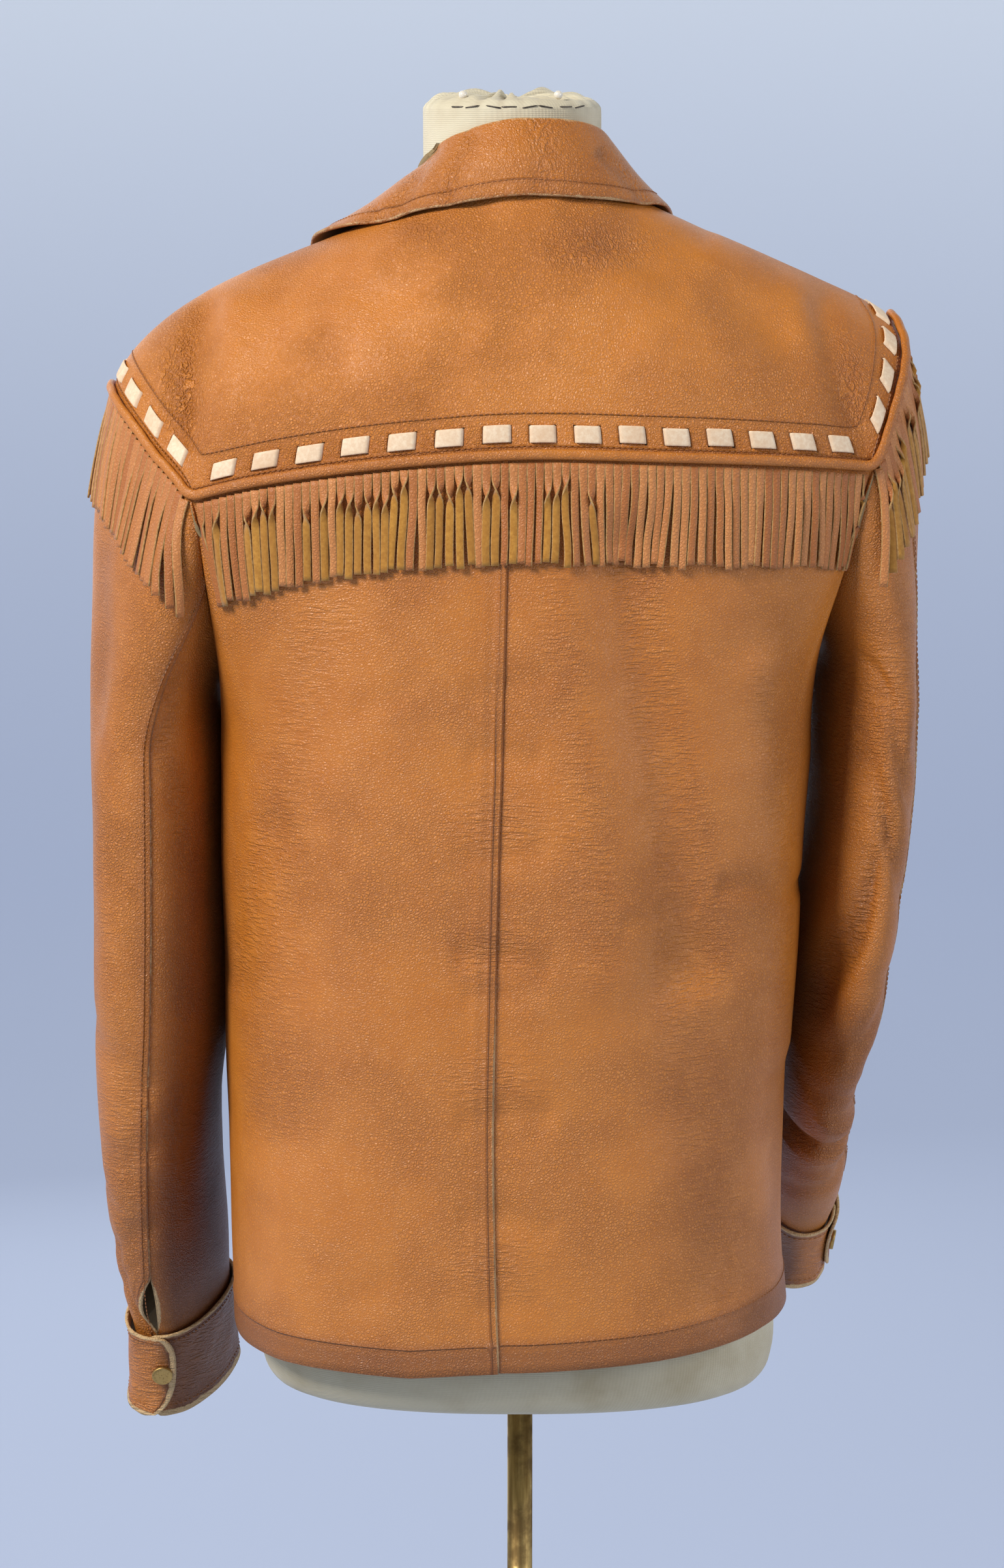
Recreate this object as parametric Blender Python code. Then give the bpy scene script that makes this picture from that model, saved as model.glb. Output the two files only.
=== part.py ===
"""Fringed deerskin jacket on a limbless dress form with a brass pole and a round base.

The jacket's front faces -Y, its back +Y, the wearer's left is +X, and the floor is z = 0.
Heights in the tables are millimetres from the top of the form's neck block.
"""
import bpy
import numpy as np

NECK_TOP = 1.500
WALL = 0.0018
GAP = 0.0003

BACK_CELLS = 31
ARM_CELLS = 17
UNDER_CELLS = 12
FRONT_CELLS = 5
SEAM_CELL = 14

WINDOW_HIGH = 0.0172
WINDOW_LOW = 0.0067
BAND_TOP = 0.034
PIPING_RADIUS = 0.0024
PIPING_OFF = 0.0009
SEAM_SIDE = 0.00015
FRONT_LAP = 0.00125
FRONT_EASE = np.array([1, 1, 1, 0.8, 0.4])
LACE_PROUD = 0.0006
LACE_UNDER = 0.0005
LACE_TRIM = 0.0004
LACE_THICK = 0.0010

# x, y, z: front corner, over the shoulder, back corner, under the arm
ARMHOLE_LEFT = np.array([
    (188, -98, -222), (214, -64, -197), (236, -30, -177), (243, 2, -169), (236, 36, -178), (215, 70, -202),
    (192, 99, -228), (185, 92, -272), (181, 60, -312), (179, 2, -337), (181, -58, -312), (184, -90, -268)])
ARMHOLE_RIGHT = np.array([
    (-198, -92, -206), (-214, -62, -170), (-222, -30, -141), (-220, 2, -128), (-226, 36, -146),
    (-219, 64, -173), (-205, 90, -211), (-191, 86, -256), (-182, 58, -290), (-178, 2, -312),
    (-181, -56, -290), (-190, -84, -250)])

# x, y, z along the yoke's lower edge, left corner to right corner
BACK_LINE = np.array([
    (192, 99, -228), (150, 118, -217), (80, 135, -206), (0, 140, -200), (-80, 134, -202), (-155, 115, -206),
    (-205, 90, -211)])
FRONT_LEFT = np.array([
    (-15, -146, -221), (45, -145, -222), (115, -133, -223), (160, -115, -223), (188, -98, -222)])
FRONT_RIGHT = np.array([
    (15, -146, -221), (-45, -145, -220), (-115, -133, -216), (-168, -112, -211), (-198, -92, -206)])

# yoke column, neck azimuth, run at the neck x y z, run at the edge x y z
YOKE_SHAPE = np.array([
    (0, -96, 0, -110, -70, 0, -30, -120),
    (5, -50, 95, -80, -70, 25, -25, -140),
    (13.5, 0, 150, 0, -60, 50, 0, -185),
    (22, 46, 105, 90, -65, 10, 20, -160),
    (37.5, 90, 0, 115, -65, 0, 14, -170),
    (53, 134, -100, 90, -70, -15, 20, -150),
    (61.5, 180, -140, 0, -75, -90, 0, -80),
    (70, 230, -95, -80, -70, -25, -25, -140),
    (75, 276, 0, -110, -70, 0, -30, -120)])
NECK_X = 3.0
NECK_HALF = (62.0, 64.0)
# azimuth, height of the seam under the collar
NECK_SEAM = np.array([
    (-96, -89), (-84, -89), (-50, -80), (0, -65), (46, -50), (90, -42), (134, -45), (180, -54), (230, -76),
    (264, -89), (276, -89)])

# z, centre x, half width, back depth, front depth
BODY = np.array([
    (-385, 3.5, 178, 139, 147), (-440, 5.5, 176, 139, 149), (-520, 7.5, 173, 138, 149),
    (-600, 9, 170, 135, 147), (-680, 8, 169, 133, 144), (-750, 5.5, 170, 131, 142)])
BODY_POWER = 2.6
# how far down from the seams to the first table ring the extra rows lie
BODY_SHARES = (0, 0.22, 0.48, 0.74)
SLEEVE_SHARES = (0, 0.05, 0.20, 0.42, 0.70)
SLEEVE_POWER = 2.3
# azimuth, hem height
HEM = np.array([
    (-90, -738), (0, -739), (40, -745), (75, -747), (90, -743), (115, -738), (150, -729), (180, -726),
    (270, -738)])

# x, y, z, half width, half depth, twist in degrees
SLEEVE_LEFT = np.array([
    (220.3, 0, -385, 37.5, 84, 5), (219.6, 0, -450, 36.5, 80, 6), (219.8, -3, -525, 37.2, 74, 8),
    (222.0, -14, -600, 34.5, 67, 10), (220.5, -31, -660, 31, 60, 14), (216.5, -49, -712, 27, 52, 20),
    (213.5, -61, -745, 23, 45, 24), (213, -67, -762, 22, 43, 25)])
CUFF_LEFT = np.array([
    (213.5, -61, -746, 22.5, 44, 24), (213, -67, -762, 22, 43, 25), (213, -75, -783, 22, 43, 26),
    (213.5, -83, -803, 22.5, 44, 27)])
SLEEVE_RIGHT = np.array([
    (-206.5, 0, -355, 25, 86, 12), (-203, -3, -420, 24, 82, 12), (-196.5, -8, -485, 24, 76, 12),
    (-190.5, -22, -535, 24, 71, 11), (-181.5, -48, -577, 21, 64, 12), (-178, -83, -622, 24, 57, 14),
    (-175, -117, -661, 25.5, 51, 18), (-173, -143, -689, 23, 45, 20), (-172, -155, -702, 22, 43, 20)])
CUFF_RIGHT = np.array([
    (-173.5, -142, -688, 22.5, 44, 20), (-172, -155, -702, 22, 43, 20), (-171, -170, -718, 22, 43, 20),
    (-170, -185, -734, 22.5, 44, 20)])
CUFF_LAP = 0.021
CUFF_OFF = 0.0011
CUFF_CLEAR = 0.0006
# how far the lapped end is cut back at the cuff's top row and at its bottom row
CUFF_CORNERS = ((0, 0.0015), (3, 0.005))
SNAP_RADIUS = 0.0065
SNAP_HEIGHT = 0.0026
SNAP_OFF = 0.0006
# where the rear seam runs, in azimuth from the sleeve's outer side, and its first and last sleeve columns
REAR_SEAM = {"left": (100.0, -2, 2), "right": (40.0, -4, -3)}

# azimuth, fold height, leaf width, leaf lift
COLLAR = np.array([
    (-84, -74, 60, 4.4), (-60, -70, 74, 4.6), (-25, -57, 70, 4.6), (0, -46, 60, 5.5), (28, -31, 46, 6.0),
    (60, -17, 30, 4.0), (90, -10, 22, 3.2), (120, -11, 27, 3.4), (145, -16, 31, 3.6), (163, -25, 32, 3.8),
    (180, -35, 32, 4.0), (225, -58, 50, 4.4), (264, -72, 58, 4.4)])

# millimetres out from the neck ring, then up from the neck seam or from the fold
STAND_BASE = (-1.8, 0.9)
STAND_TOP = (-5.5, -4)
FOLD_TOP = -3.0
FOLD_OUT = (0.8, -3.5)
# metres: how the leaf's middle bulges at the back, rises at the front and sinks all round
LEAF_SWELL = 0.0028
LEAF_DROOP = 0.0060
LEAF_SINK = 0.0015

# z, centre x, half width, back depth, front depth
FORM = np.array([
    (-777, 2, 144, 101, 113), (-773, 2, 151, 107, 120), (-762, 2, 156.5, 112, 125), (-735, 3, 159, 115, 129),
    (-650, 5, 152, 112, 132), (-550, 5, 150, 112, 134), (-450, 4, 158, 120, 136), (-385, 3, 164, 125, 136),
    (-300, 3, 165, 127, 133), (-230, 2, 167, 125, 124), (-180, 0, 168, 119, 110), (-145, -2, 164, 110, 95),
    (-125, -5, 154, 103, 80), (-108, -8, 134, 94, 62), (-92, -10, 103, 84, 50), (-80, -7, 76, 72, 45),
    (-72, 0, 60, 63, 43), (-66, 2.5, 58.5, 59, 44), (-48, 4, 53.5, 54, 50), (-34, 5, 53, 53, 52),
    (-8, 5, 53, 53, 53), (-3, 5, 52, 52, 52), (0, 5, 49, 49, 49)])

# Fringe: leather thickness, and how far under the seam and off the leather its backing's two edges run
FRINGE_THICK = 0.0012
BACKING_REACH = (0.0046, 0.0095)
BACKING_LIFT = (0.0006, 0.0008)

POLE_RADIUS = 0.0078
BASE_RADIUS = 0.185
BASE_HEIGHT = 0.016

LEATHER = (0.60, 0.215, 0.055)
DARK_LEATHER = (0.50, 0.165, 0.040)
SUEDE = (0.50, 0.22, 0.05)
CREAM = (0.75, 0.58, 0.40)
CANVAS = (0.62, 0.56, 0.46)
BRASS = (0.46, 0.29, 0.10)
IRON = (0.05, 0.05, 0.05)


for obj in list(bpy.data.objects):
    bpy.data.objects.remove(obj)


def world(rows):
    """Table millimetres to metres over the floor."""
    out = np.array(rows, float)[..., :3] / 1000
    out[..., 2] += NECK_TOP
    return out


def unit(v):
    return v / np.maximum(np.linalg.norm(v, axis=-1, keepdims=True), 1e-12)


def spline(knots, per=24, closed=False):
    """Dense points of a Catmull-Rom curve through the knots."""
    knots = np.asarray(knots, float)
    if closed:
        padded = np.vstack([knots[-1:], knots, knots[:2]])
    else:
        padded = np.vstack([2 * knots[:1] - knots[1:2], knots, 2 * knots[-1:] - knots[-2:-1]])
    a, b, c, d = padded[:-3], padded[1:-2], padded[2:-1], padded[3:]
    t = np.linspace(0, 1, per, endpoint=False)[None, :, None]
    a, b, c, d = a[:, None], b[:, None], c[:, None], d[:, None]
    curve = 0.5 * (2 * b + (c - a) * t + (2 * a - 5 * b + 4 * c - d) * t**2 + (3 * b - a - 3 * c + d) * t**3)
    curve = curve.reshape(-1, knots.shape[1])
    return np.vstack([curve, knots[:1] if closed else knots[-1:]])


def along(curve, fractions):
    """Points at fractions of a curve's length."""
    steps = np.linalg.norm(np.diff(curve, axis=0), axis=1)
    run = np.concatenate([[0], np.cumsum(steps)]) / steps.sum()
    return np.stack([np.interp(fractions, run, curve[:, k]) for k in range(curve.shape[1])], axis=-1)


def smooth_table(table, at):
    """A table's columns at new values of its first column, along a smooth curve."""
    curve = spline(table)
    return np.stack([np.interp(at, curve[:, 0], curve[:, k]) for k in range(1, table.shape[1])], axis=-1)


def hermite(start, end, leave, arrive, s):
    """Cubic from start to end with the given end runs, s from 0 to 1."""
    h00, h10 = 2 * s**3 - 3 * s**2 + 1, s**3 - 2 * s**2 + s
    h01, h11 = -2 * s**3 + 3 * s**2, s**3 - s**2
    return h00 * start + h10 * leave + h01 * end + h11 * arrive


def oval(angle, centre, half_x, back, front, power):
    """Superellipse ring: azimuth 0 is +X, 90 is the back."""
    c, s = np.cos(angle), np.sin(angle)
    depth = np.where(s > 0, back, front)
    x = centre + half_x * np.sign(c) * np.abs(c) ** (2 / power)
    return x, depth * np.sign(s) * np.abs(s) ** (2 / power)


def grid_normals(grid, closed=False):
    """Unit normals of a (rows, columns, 3) grid, pointing out of the garment."""
    down = np.gradient(grid, axis=0)
    if closed:
        side = np.roll(grid, -1, axis=1) - np.roll(grid, 1, axis=1)
    else:
        side = np.gradient(grid, axis=1)
    return unit(np.cross(down, side))


def material(name, colour, rough, metal=0.0):
    made = bpy.data.materials.new(name)
    made.use_nodes = True
    shader = made.node_tree.nodes["Principled BSDF"]
    shader.inputs["Base Color"].default_value = (*colour, 1)
    shader.inputs["Roughness"].default_value = rough
    shader.inputs["Metallic"].default_value = metal
    return made


def solid(name, points, faces, colour, rough=0.6, metal=0.0):
    """A closed mesh object of triangles, turned outward by the sign of its volume."""
    points = np.asarray(points, float)
    faces = [(face[0], face[k], face[k + 1]) for face in faces for k in range(1, len(face) - 1)]
    corners = points[np.array(faces)]
    if np.sum(corners[:, 0] * np.cross(corners[:, 1], corners[:, 2])) < 0:
        faces = [tuple(reversed(face)) for face in faces]
    mesh = bpy.data.meshes.new(name)
    mesh.from_pydata([tuple(p) for p in points], [], [tuple(int(i) for i in face) for face in faces])
    mesh.materials.append(material(name, colour, rough, metal))
    obj = bpy.data.objects.new(name, mesh)
    bpy.context.scene.collection.objects.link(obj)
    return obj


def wall(name, outer, inner, colour, keep=None, rough=0.6, closed=False):
    """A closed wall between two grids. Cells that keep leaves out are windows through it."""
    rows, cols = outer.shape[:2]
    cells = (rows - 1, cols if closed else cols - 1)
    keep = np.ones(cells, bool) if keep is None else keep
    number = np.arange(rows * cols).reshape(rows, cols)
    total = rows * cols
    faces = []

    def kept(i, j):
        if closed:
            j %= cells[1]
        return 0 <= i < cells[0] and 0 <= j < cells[1] and keep[i, j]

    for i in range(cells[0]):
        for j in range(cells[1]):
            if not keep[i, j]:
                continue
            k = (j + 1) % cols
            a, b, c, d = number[i, j], number[i, k], number[i + 1, k], number[i + 1, j]
            faces.append((a, b, c, d))
            faces.append((d + total, c + total, b + total, a + total))
            if not kept(i - 1, j):
                faces.append((b, a, a + total, b + total))
            if not kept(i + 1, j):
                faces.append((d, c, c + total, d + total))
            if not kept(i, j - 1):
                faces.append((a, d, d + total, a + total))
            if not kept(i, j + 1):
                faces.append((c, b, b + total, c + total))
    points = np.vstack([outer.reshape(-1, 3), inner.reshape(-1, 3)])
    used = np.unique(np.array(faces).ravel())
    renumber = np.full(2 * total, -1)
    renumber[used] = np.arange(len(used))
    return solid(name, points[used], [tuple(renumber[list(face)]) for face in faces], colour, rough)


def ring_stack(name, rings, colour, rough=0.7, metal=0.0):
    """A closed body through rings of equal count, capped at both ends."""
    rows, cols = rings.shape[:2]
    faces = [(i * cols + j, i * cols + (j + 1) % cols, (i + 1) * cols + (j + 1) % cols, (i + 1) * cols + j)
             for i in range(rows - 1) for j in range(cols)]
    faces.append(tuple(reversed(range(cols))))
    faces.append(tuple(range((rows - 1) * cols, rows * cols)))
    return solid(name, rings.reshape(-1, 3), faces, colour, rough, metal)


def pull_in(grid, first, last):
    """Shorten a grid sideways at its first and last column, for the seam's gap."""
    grid = grid.copy()
    if first:
        grid[:, 0] += unit(grid[:, 1] - grid[:, 0]) * GAP * 1.5
    if last:
        grid[:, -1] += unit(grid[:, -2] - grid[:, -1]) * GAP * 1.5
    return grid


# Seam curves that the pieces share
def armhole(table):
    curve = spline(world(table), closed=True)
    corner = 6 * 24
    upper = along(curve[:corner + 1], np.linspace(0, 1, ARM_CELLS + 1))
    lower = along(curve[corner:], np.linspace(0, 1, UNDER_CELLS + 1))
    return upper, lower


def toward_middle(points, middle):
    return unit(middle - points)


upper_left, lower_left = armhole(ARMHOLE_LEFT)
upper_right, lower_right = armhole(ARMHOLE_RIGHT)
middle_left = np.array([0.196, 0.0, NECK_TOP - 0.250])
middle_right = np.array([-0.195, 0.0, NECK_TOP - 0.218])

back_fractions = np.concatenate([
    np.linspace(0, 0.467, SEAM_CELL, endpoint=False), np.linspace(0.467, 1, BACK_CELLS - SEAM_CELL + 1)])
back_line = along(spline(world(BACK_LINE)), back_fractions)
front_left = along(spline(world(FRONT_LEFT)), np.linspace(0, 1, FRONT_CELLS + 1))
front_right = along(spline(world(FRONT_RIGHT)), np.linspace(0, 1, FRONT_CELLS + 1))

edge = np.vstack([
    front_left[:-1], upper_left[:-1], back_line[:-1], upper_right[::-1][:-1], front_right[::-1]])
columns = np.arange(len(edge))
shape = smooth_table(YOKE_SHAPE, columns)
azimuth = np.radians(shape[:, 0])
leave, arrive = shape[:, 1:4] / 1000, shape[:, 4:7] / 1000

L0, L1 = FRONT_CELLS, FRONT_CELLS + ARM_CELLS
R0 = L1 + BACK_CELLS
R1 = R0 + ARM_CELLS

inward = -unit(np.cross(arrive, np.gradient(edge, axis=0)))
inward[L0:L1 + 1] = toward_middle(edge[L0:L1 + 1], middle_left)
inward[R0:R1 + 1] = toward_middle(edge[R0:R1 + 1], middle_right)
for corner in (L0, L1, R0, R1):
    side = corner - 1 if corner in (L0, R0) else corner + 1
    inward[corner] = unit(inward[corner] + inward[side])
inward = unit(inward)

# Neck ring
radial = np.stack([np.cos(azimuth), np.sin(azimuth), 0 * azimuth], axis=-1)


def neck_height(angle):
    return smooth_table(NECK_SEAM, np.degrees(angle))[:, 0]


def neck_ring(angle, out=0.0, height=None):
    z = neck_height(angle) if height is None else height
    return world(np.stack([NECK_X + (NECK_HALF[0] + out) * np.cos(angle),
                           (NECK_HALF[1] + out) * np.sin(angle), z], axis=-1))


neck = neck_ring(azimuth)

# Yoke: from the neck ring to its lower edge, wrapping over both shoulders
fine = np.linspace(0, 1, 201)
yoke_fine = hermite(neck[None], edge[None], leave[None], arrive[None], fine[:, None, None])
step = np.linalg.norm(np.diff(yoke_fine, axis=0), axis=2)
run = np.vstack([np.zeros(len(edge)), np.cumsum(step, axis=0)])


def yoke_at(distance_from_edge=None, distance_from_neck=None):
    """Yoke points at a distance up from the edge or down from the neck, one for each column."""
    out = np.empty((len(edge), 3))
    for j in range(len(edge)):
        if distance_from_edge is not None:
            wanted = run[-1, j] - np.broadcast_to(distance_from_edge, len(edge))[j]
        else:
            wanted = np.broadcast_to(distance_from_neck, len(edge))[j]
        for k in range(3):
            out[j, k] = np.interp(wanted, run[:, j], yoke_fine[:, j, k])
    return out


upper_length = run[-1] - BAND_TOP
yoke_rows = [neck] + [yoke_at(distance_from_neck=upper_length * f) for f in (0.3, 0.65, 1.0)]
yoke_rows += [yoke_at(distance_from_edge=WINDOW_HIGH), yoke_at(distance_from_edge=WINDOW_LOW), edge]
yoke = np.stack(yoke_rows)
yoke_normal = grid_normals(yoke)
yoke_normal[-1] = -inward
yoke_normal[0] = radial

# The wearer's left front laps over the right one
lap = np.zeros(len(edge))
lap[:FRONT_CELLS] = FRONT_EASE * FRONT_LAP
lap[-FRONT_CELLS:] = -FRONT_EASE[::-1] * FRONT_LAP
yoke = yoke + yoke_normal * lap[None, :, None]
yoke_outer = yoke.copy()
yoke_outer[-1] = yoke[-1] + unit(yoke[-2] - yoke[-1]) * GAP / 2
yoke_outer[-1, L0:L1 + 1] += (-SEAM_SIDE, 0, 0)
yoke_outer[-1, R0:R1 + 1] += (SEAM_SIDE, 0, 0)
windows = np.ones((len(yoke) - 1, len(edge) - 1), bool)
windows[4, L0 + 1:L1:2] = False
windows[4, L1 + 1:R0:2] = False
windows[4, R0 + 1:R1:2] = False
wall("yoke", yoke_outer, yoke_outer - yoke_normal * WALL, LEATHER, windows)

# Lace: one ribbon that rises through every window and dips behind the leather between
lace_high, lace_low = yoke[4], yoke[5]
lace_points, lace_lift, lace_out = [], [], []
for j in range(L0, R1):
    is_window = not windows[4, j]
    places = ((0.0, -1), (0.24, 1), (0.76, 1)) if is_window else ((0.0, -1),)
    if j == L0:
        places = ((0.25, -1),)
    for place, side in places:
        high = lace_high[j] * (1 - place) + lace_high[j + 1] * place
        low = lace_low[j] * (1 - place) + lace_low[j + 1] * place
        out = unit(yoke_normal[4, j] * (1 - place) + yoke_normal[4, j + 1] * place)
        lift = LACE_PROUD if side > 0 else -(WALL + LACE_UNDER)
        trim = unit(low - high) * LACE_TRIM
        lace_points.append((high + trim + out * lift, low - trim + out * lift))
        lace_out.append(out)
high = lace_high[R1 - 1] * 0.25 + lace_high[R1] * 0.75
low = lace_low[R1 - 1] * 0.25 + lace_low[R1] * 0.75
out = yoke_normal[4, R1]
lace_points.append((high - out * (WALL + LACE_UNDER), low - out * (WALL + LACE_UNDER)))
lace_out.append(out)
lace = np.array(lace_points).transpose(1, 0, 2)
lace_out = np.array(lace_out)[None]
wall("lace", lace, lace - lace_out * LACE_THICK, CREAM, rough=0.7)

# Body: back, sides and fronts as one surface, cut into four panels
top = np.vstack([front_left[:-1], lower_left[::-1][:-1], back_line[:-1], lower_right[:-1], front_right[::-1]])
B0, B1 = FRONT_CELLS, FRONT_CELLS + UNDER_CELLS
B2 = B1 + BACK_CELLS
B3 = B2 + UNDER_CELLS
top_in = np.vstack([
    inward[:L0], toward_middle(lower_left[::-1], middle_left)[:-1], inward[L1:R0],
    toward_middle(lower_right, middle_right)[:-1], inward[R1:]])
top_in[B0], top_in[B1], top_in[B2], top_in[B3] = inward[L0], inward[L1], inward[R0], inward[R1]


def body_ring(angle, z):
    """Body points at azimuths and heights in millimetres."""
    centre, half, back, front = smooth_table(BODY[::-1], np.clip(z, -750, -385)).T
    x, y = oval(angle, centre, half, back, front, BODY_POWER)
    return world(np.stack([x, y, z], axis=-1))


first = BODY[0]
depth = np.where(top[:, 1] > 0, first[3], first[4])
power = BODY_POWER / 2
across = np.abs(top[:, 0] * 1000 - first[1] * np.sign(top[:, 0])) / first[2]
around = np.arctan2(np.sign(top[:, 1]) * (np.abs(top[:, 1] * 1000) / depth) ** power,
                    np.sign(top[:, 0]) * across ** power)
around = np.unwrap(around)
hem_at = np.interp(np.degrees(around), HEM[:, 0], HEM[:, 1])
ring = body_ring(around, np.full(len(top), -385.0))
length = np.linalg.norm(ring - top, axis=1)[:, None]
arrive_top = np.vstack([arrive[:L0 + 1], np.zeros((UNDER_CELLS - 1, 3)), arrive[L1:R0 + 1],
                        np.zeros((UNDER_CELLS - 1, 3)), arrive[R1:]])
down = np.array([0.0, 0.0, -1.0])
under = np.linalg.norm(arrive_top, axis=1) < 1e-6
start_run = np.where(under[:, None], unit(ring - top) * 0.5 + down * 0.5, unit(arrive_top)) * length
for corner in (B0, B1, B2, B3):
    start_run[corner] = (unit(ring - top) * length)[corner]
body_rows = [hermite(top, ring, start_run, down * length, s) for s in BODY_SHARES]
for f in np.linspace(0, 1, 5):
    body_rows.append(body_ring(around, -385 + f * (hem_at + 385)))
body = np.stack(body_rows)
body_normal = grid_normals(body)
body_normal[0] = -top_in
body_lap = np.zeros(len(top))
body_lap[:FRONT_CELLS] = lap[:FRONT_CELLS]
body_lap[-FRONT_CELLS:] = lap[-FRONT_CELLS:]
body = body + body_normal * body_lap[None, :, None]
body_outer = body.copy()
body_outer[0] = body[0] + unit(body[1] - body[0]) * GAP / 2
body_outer[0, B0:B1 + 1] += (-SEAM_SIDE, 0, 0)
body_outer[0, B2:B3 + 1] += (SEAM_SIDE, 0, 0)
body_inner = body_outer - body_normal * WALL

SIDE_LEFT = FRONT_CELLS + UNDER_CELLS // 2
SIDE_RIGHT = B2 + UNDER_CELLS // 2
CENTRE_BACK = B1 + SEAM_CELL
for name, j0, j1, cut0, cut1 in (
        ("front_left", 0, SIDE_LEFT, False, True),
        ("back_left", SIDE_LEFT, CENTRE_BACK, True, True),
        ("back_right", CENTRE_BACK, SIDE_RIGHT, True, True),
        ("front_right", SIDE_RIGHT, len(top) - 1, True, False)):
    outer_part, inner_part = body_outer[:, j0:j1 + 1], body_inner[:, j0:j1 + 1]
    wall(name, pull_in(outer_part, cut0, cut1), pull_in(inner_part, cut0, cut1), LEATHER)


# Sleeves
def sleeve_ring(row, ahead, angle):
    """One ring of a sleeve: an oval square to the arm's line, turned by the twist."""
    centre = world(row[:3])
    side = np.sign(centre[0])
    across = np.array([1.0, 0.0, 0.0]) * side
    across = unit(across - ahead * np.dot(across, ahead))
    along_arm = np.cross(ahead, across) * side
    if along_arm[1] < 0:
        along_arm = -along_arm
    turn = np.radians(row[5])
    axis_a = across * np.cos(turn) - along_arm * np.sin(turn)
    axis_b = along_arm * np.cos(turn) + across * np.sin(turn)
    c, s = np.cos(angle), np.sin(angle)
    u = row[3] / 1000 * np.sign(c) * np.abs(c) ** (2 / SLEEVE_POWER)
    v = row[4] / 1000 * np.sign(s) * np.abs(s) ** (2 / SLEEVE_POWER)
    return centre + u[:, None] * axis_a + v[:, None] * axis_b


def sleeve_grid(table, upper, lower, middle):
    """Sleeve rows from the armhole to the wrist, with the armhole ring's inward directions."""
    ring0 = np.vstack([upper[:-1], lower[:-1]])
    side = np.sign(ring0[0, 0])
    half_arm, half_under = ARM_CELLS / 2, UNDER_CELLS / 2
    index = np.arange(len(ring0))
    angle = np.radians(np.interp(
        index, [0, half_arm, 2 * half_arm, ARM_CELLS + half_under, ARM_CELLS + UNDER_CELLS],
        [-62, 0, 62, 180, 298]))
    centres = world(table)
    ahead = unit(np.gradient(centres, axis=0))
    ahead[0] = down
    rings = [sleeve_ring(row, a, angle) for row, a in zip(table, ahead)]
    far = np.linalg.norm(rings[0] - ring0, axis=1)[:, None]
    top_share = np.clip(np.cos(angle), 0, 1)[:, None]
    under_share = np.clip(-np.cos(angle), 0, 1)[:, None]
    out = side * np.array([1.0, 0.0, 0.0])
    rear = np.array([0.0, 1.0, 0.0])
    lean = (0.22 + 0.06 * top_share + 0.5 * under_share) * out + 0.12 * np.sin(angle)[:, None] * rear
    start = ring0 + out * GAP
    leave0 = unit(lean + down * 0.95) * far * 0.9
    rows = [hermite(start, rings[0], leave0, down * far * 0.9, s) for s in SLEEVE_SHARES]
    grid = np.stack(rows + rings)
    normal = grid_normals(grid, closed=True)
    outward = unit(grid - grid.mean(axis=1, keepdims=True))
    normal = normal * np.where(np.sum(normal * outward, axis=-1) < 0, -1, 1)[..., None]
    normal[0] = -toward_middle(ring0, middle)
    for corner, shared in ((0, L0 if side > 0 else R1), (ARM_CELLS, L1 if side > 0 else R0)):
        normal[0, corner] = -inward[shared]
    return grid, normal, angle


def add_sleeve(name, grid, normal, seam):
    """The outer and the inner half of a two-piece sleeve."""
    inner = grid - normal * WALL
    cols = grid.shape[1]
    start, end = seam[1], ARM_CELLS + seam[2]
    outer_cols = np.arange(start, end + 1) % cols
    inner_cols = np.arange(end, cols + start + 1) % cols
    for part, chosen in (("outer", outer_cols), ("inner", inner_cols)):
        halves = [pull_in(skin[:, chosen], True, True) for skin in (grid, inner)]
        wall(f"{name}_{part}", *halves, LEATHER)


left_grid, left_normal, left_angle = sleeve_grid(SLEEVE_LEFT, upper_left, lower_left, middle_left)
right_grid, right_normal, right_angle = sleeve_grid(SLEEVE_RIGHT, upper_right, lower_right, middle_right)
add_sleeve("sleeve_left", left_grid, left_normal, REAR_SEAM["left"])
add_sleeve("sleeve_right", right_grid, right_normal, REAR_SEAM["right"])


def disc(name, centre, axis, radius, height, colour, rough=0.35, metal=1.0):
    """A low domed snap cap."""
    axis = unit(axis)
    helper = np.array([0.0, 0.0, 1.0]) if abs(axis[2]) < 0.9 else np.array([1.0, 0.0, 0.0])
    a = unit(np.cross(axis, helper))
    b = np.cross(axis, a)
    turn = np.arange(12) * np.pi / 6
    circle = np.cos(turn)[:, None] * a + np.sin(turn)[:, None] * b
    rings = np.stack([centre + circle * radius * r + axis * height * h
                      for r, h in ((1, 0), (1, 0.45), (0.82, 0.85), (0.45, 1.0))])
    ring_stack(name, rings, colour, rough, metal)


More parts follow.
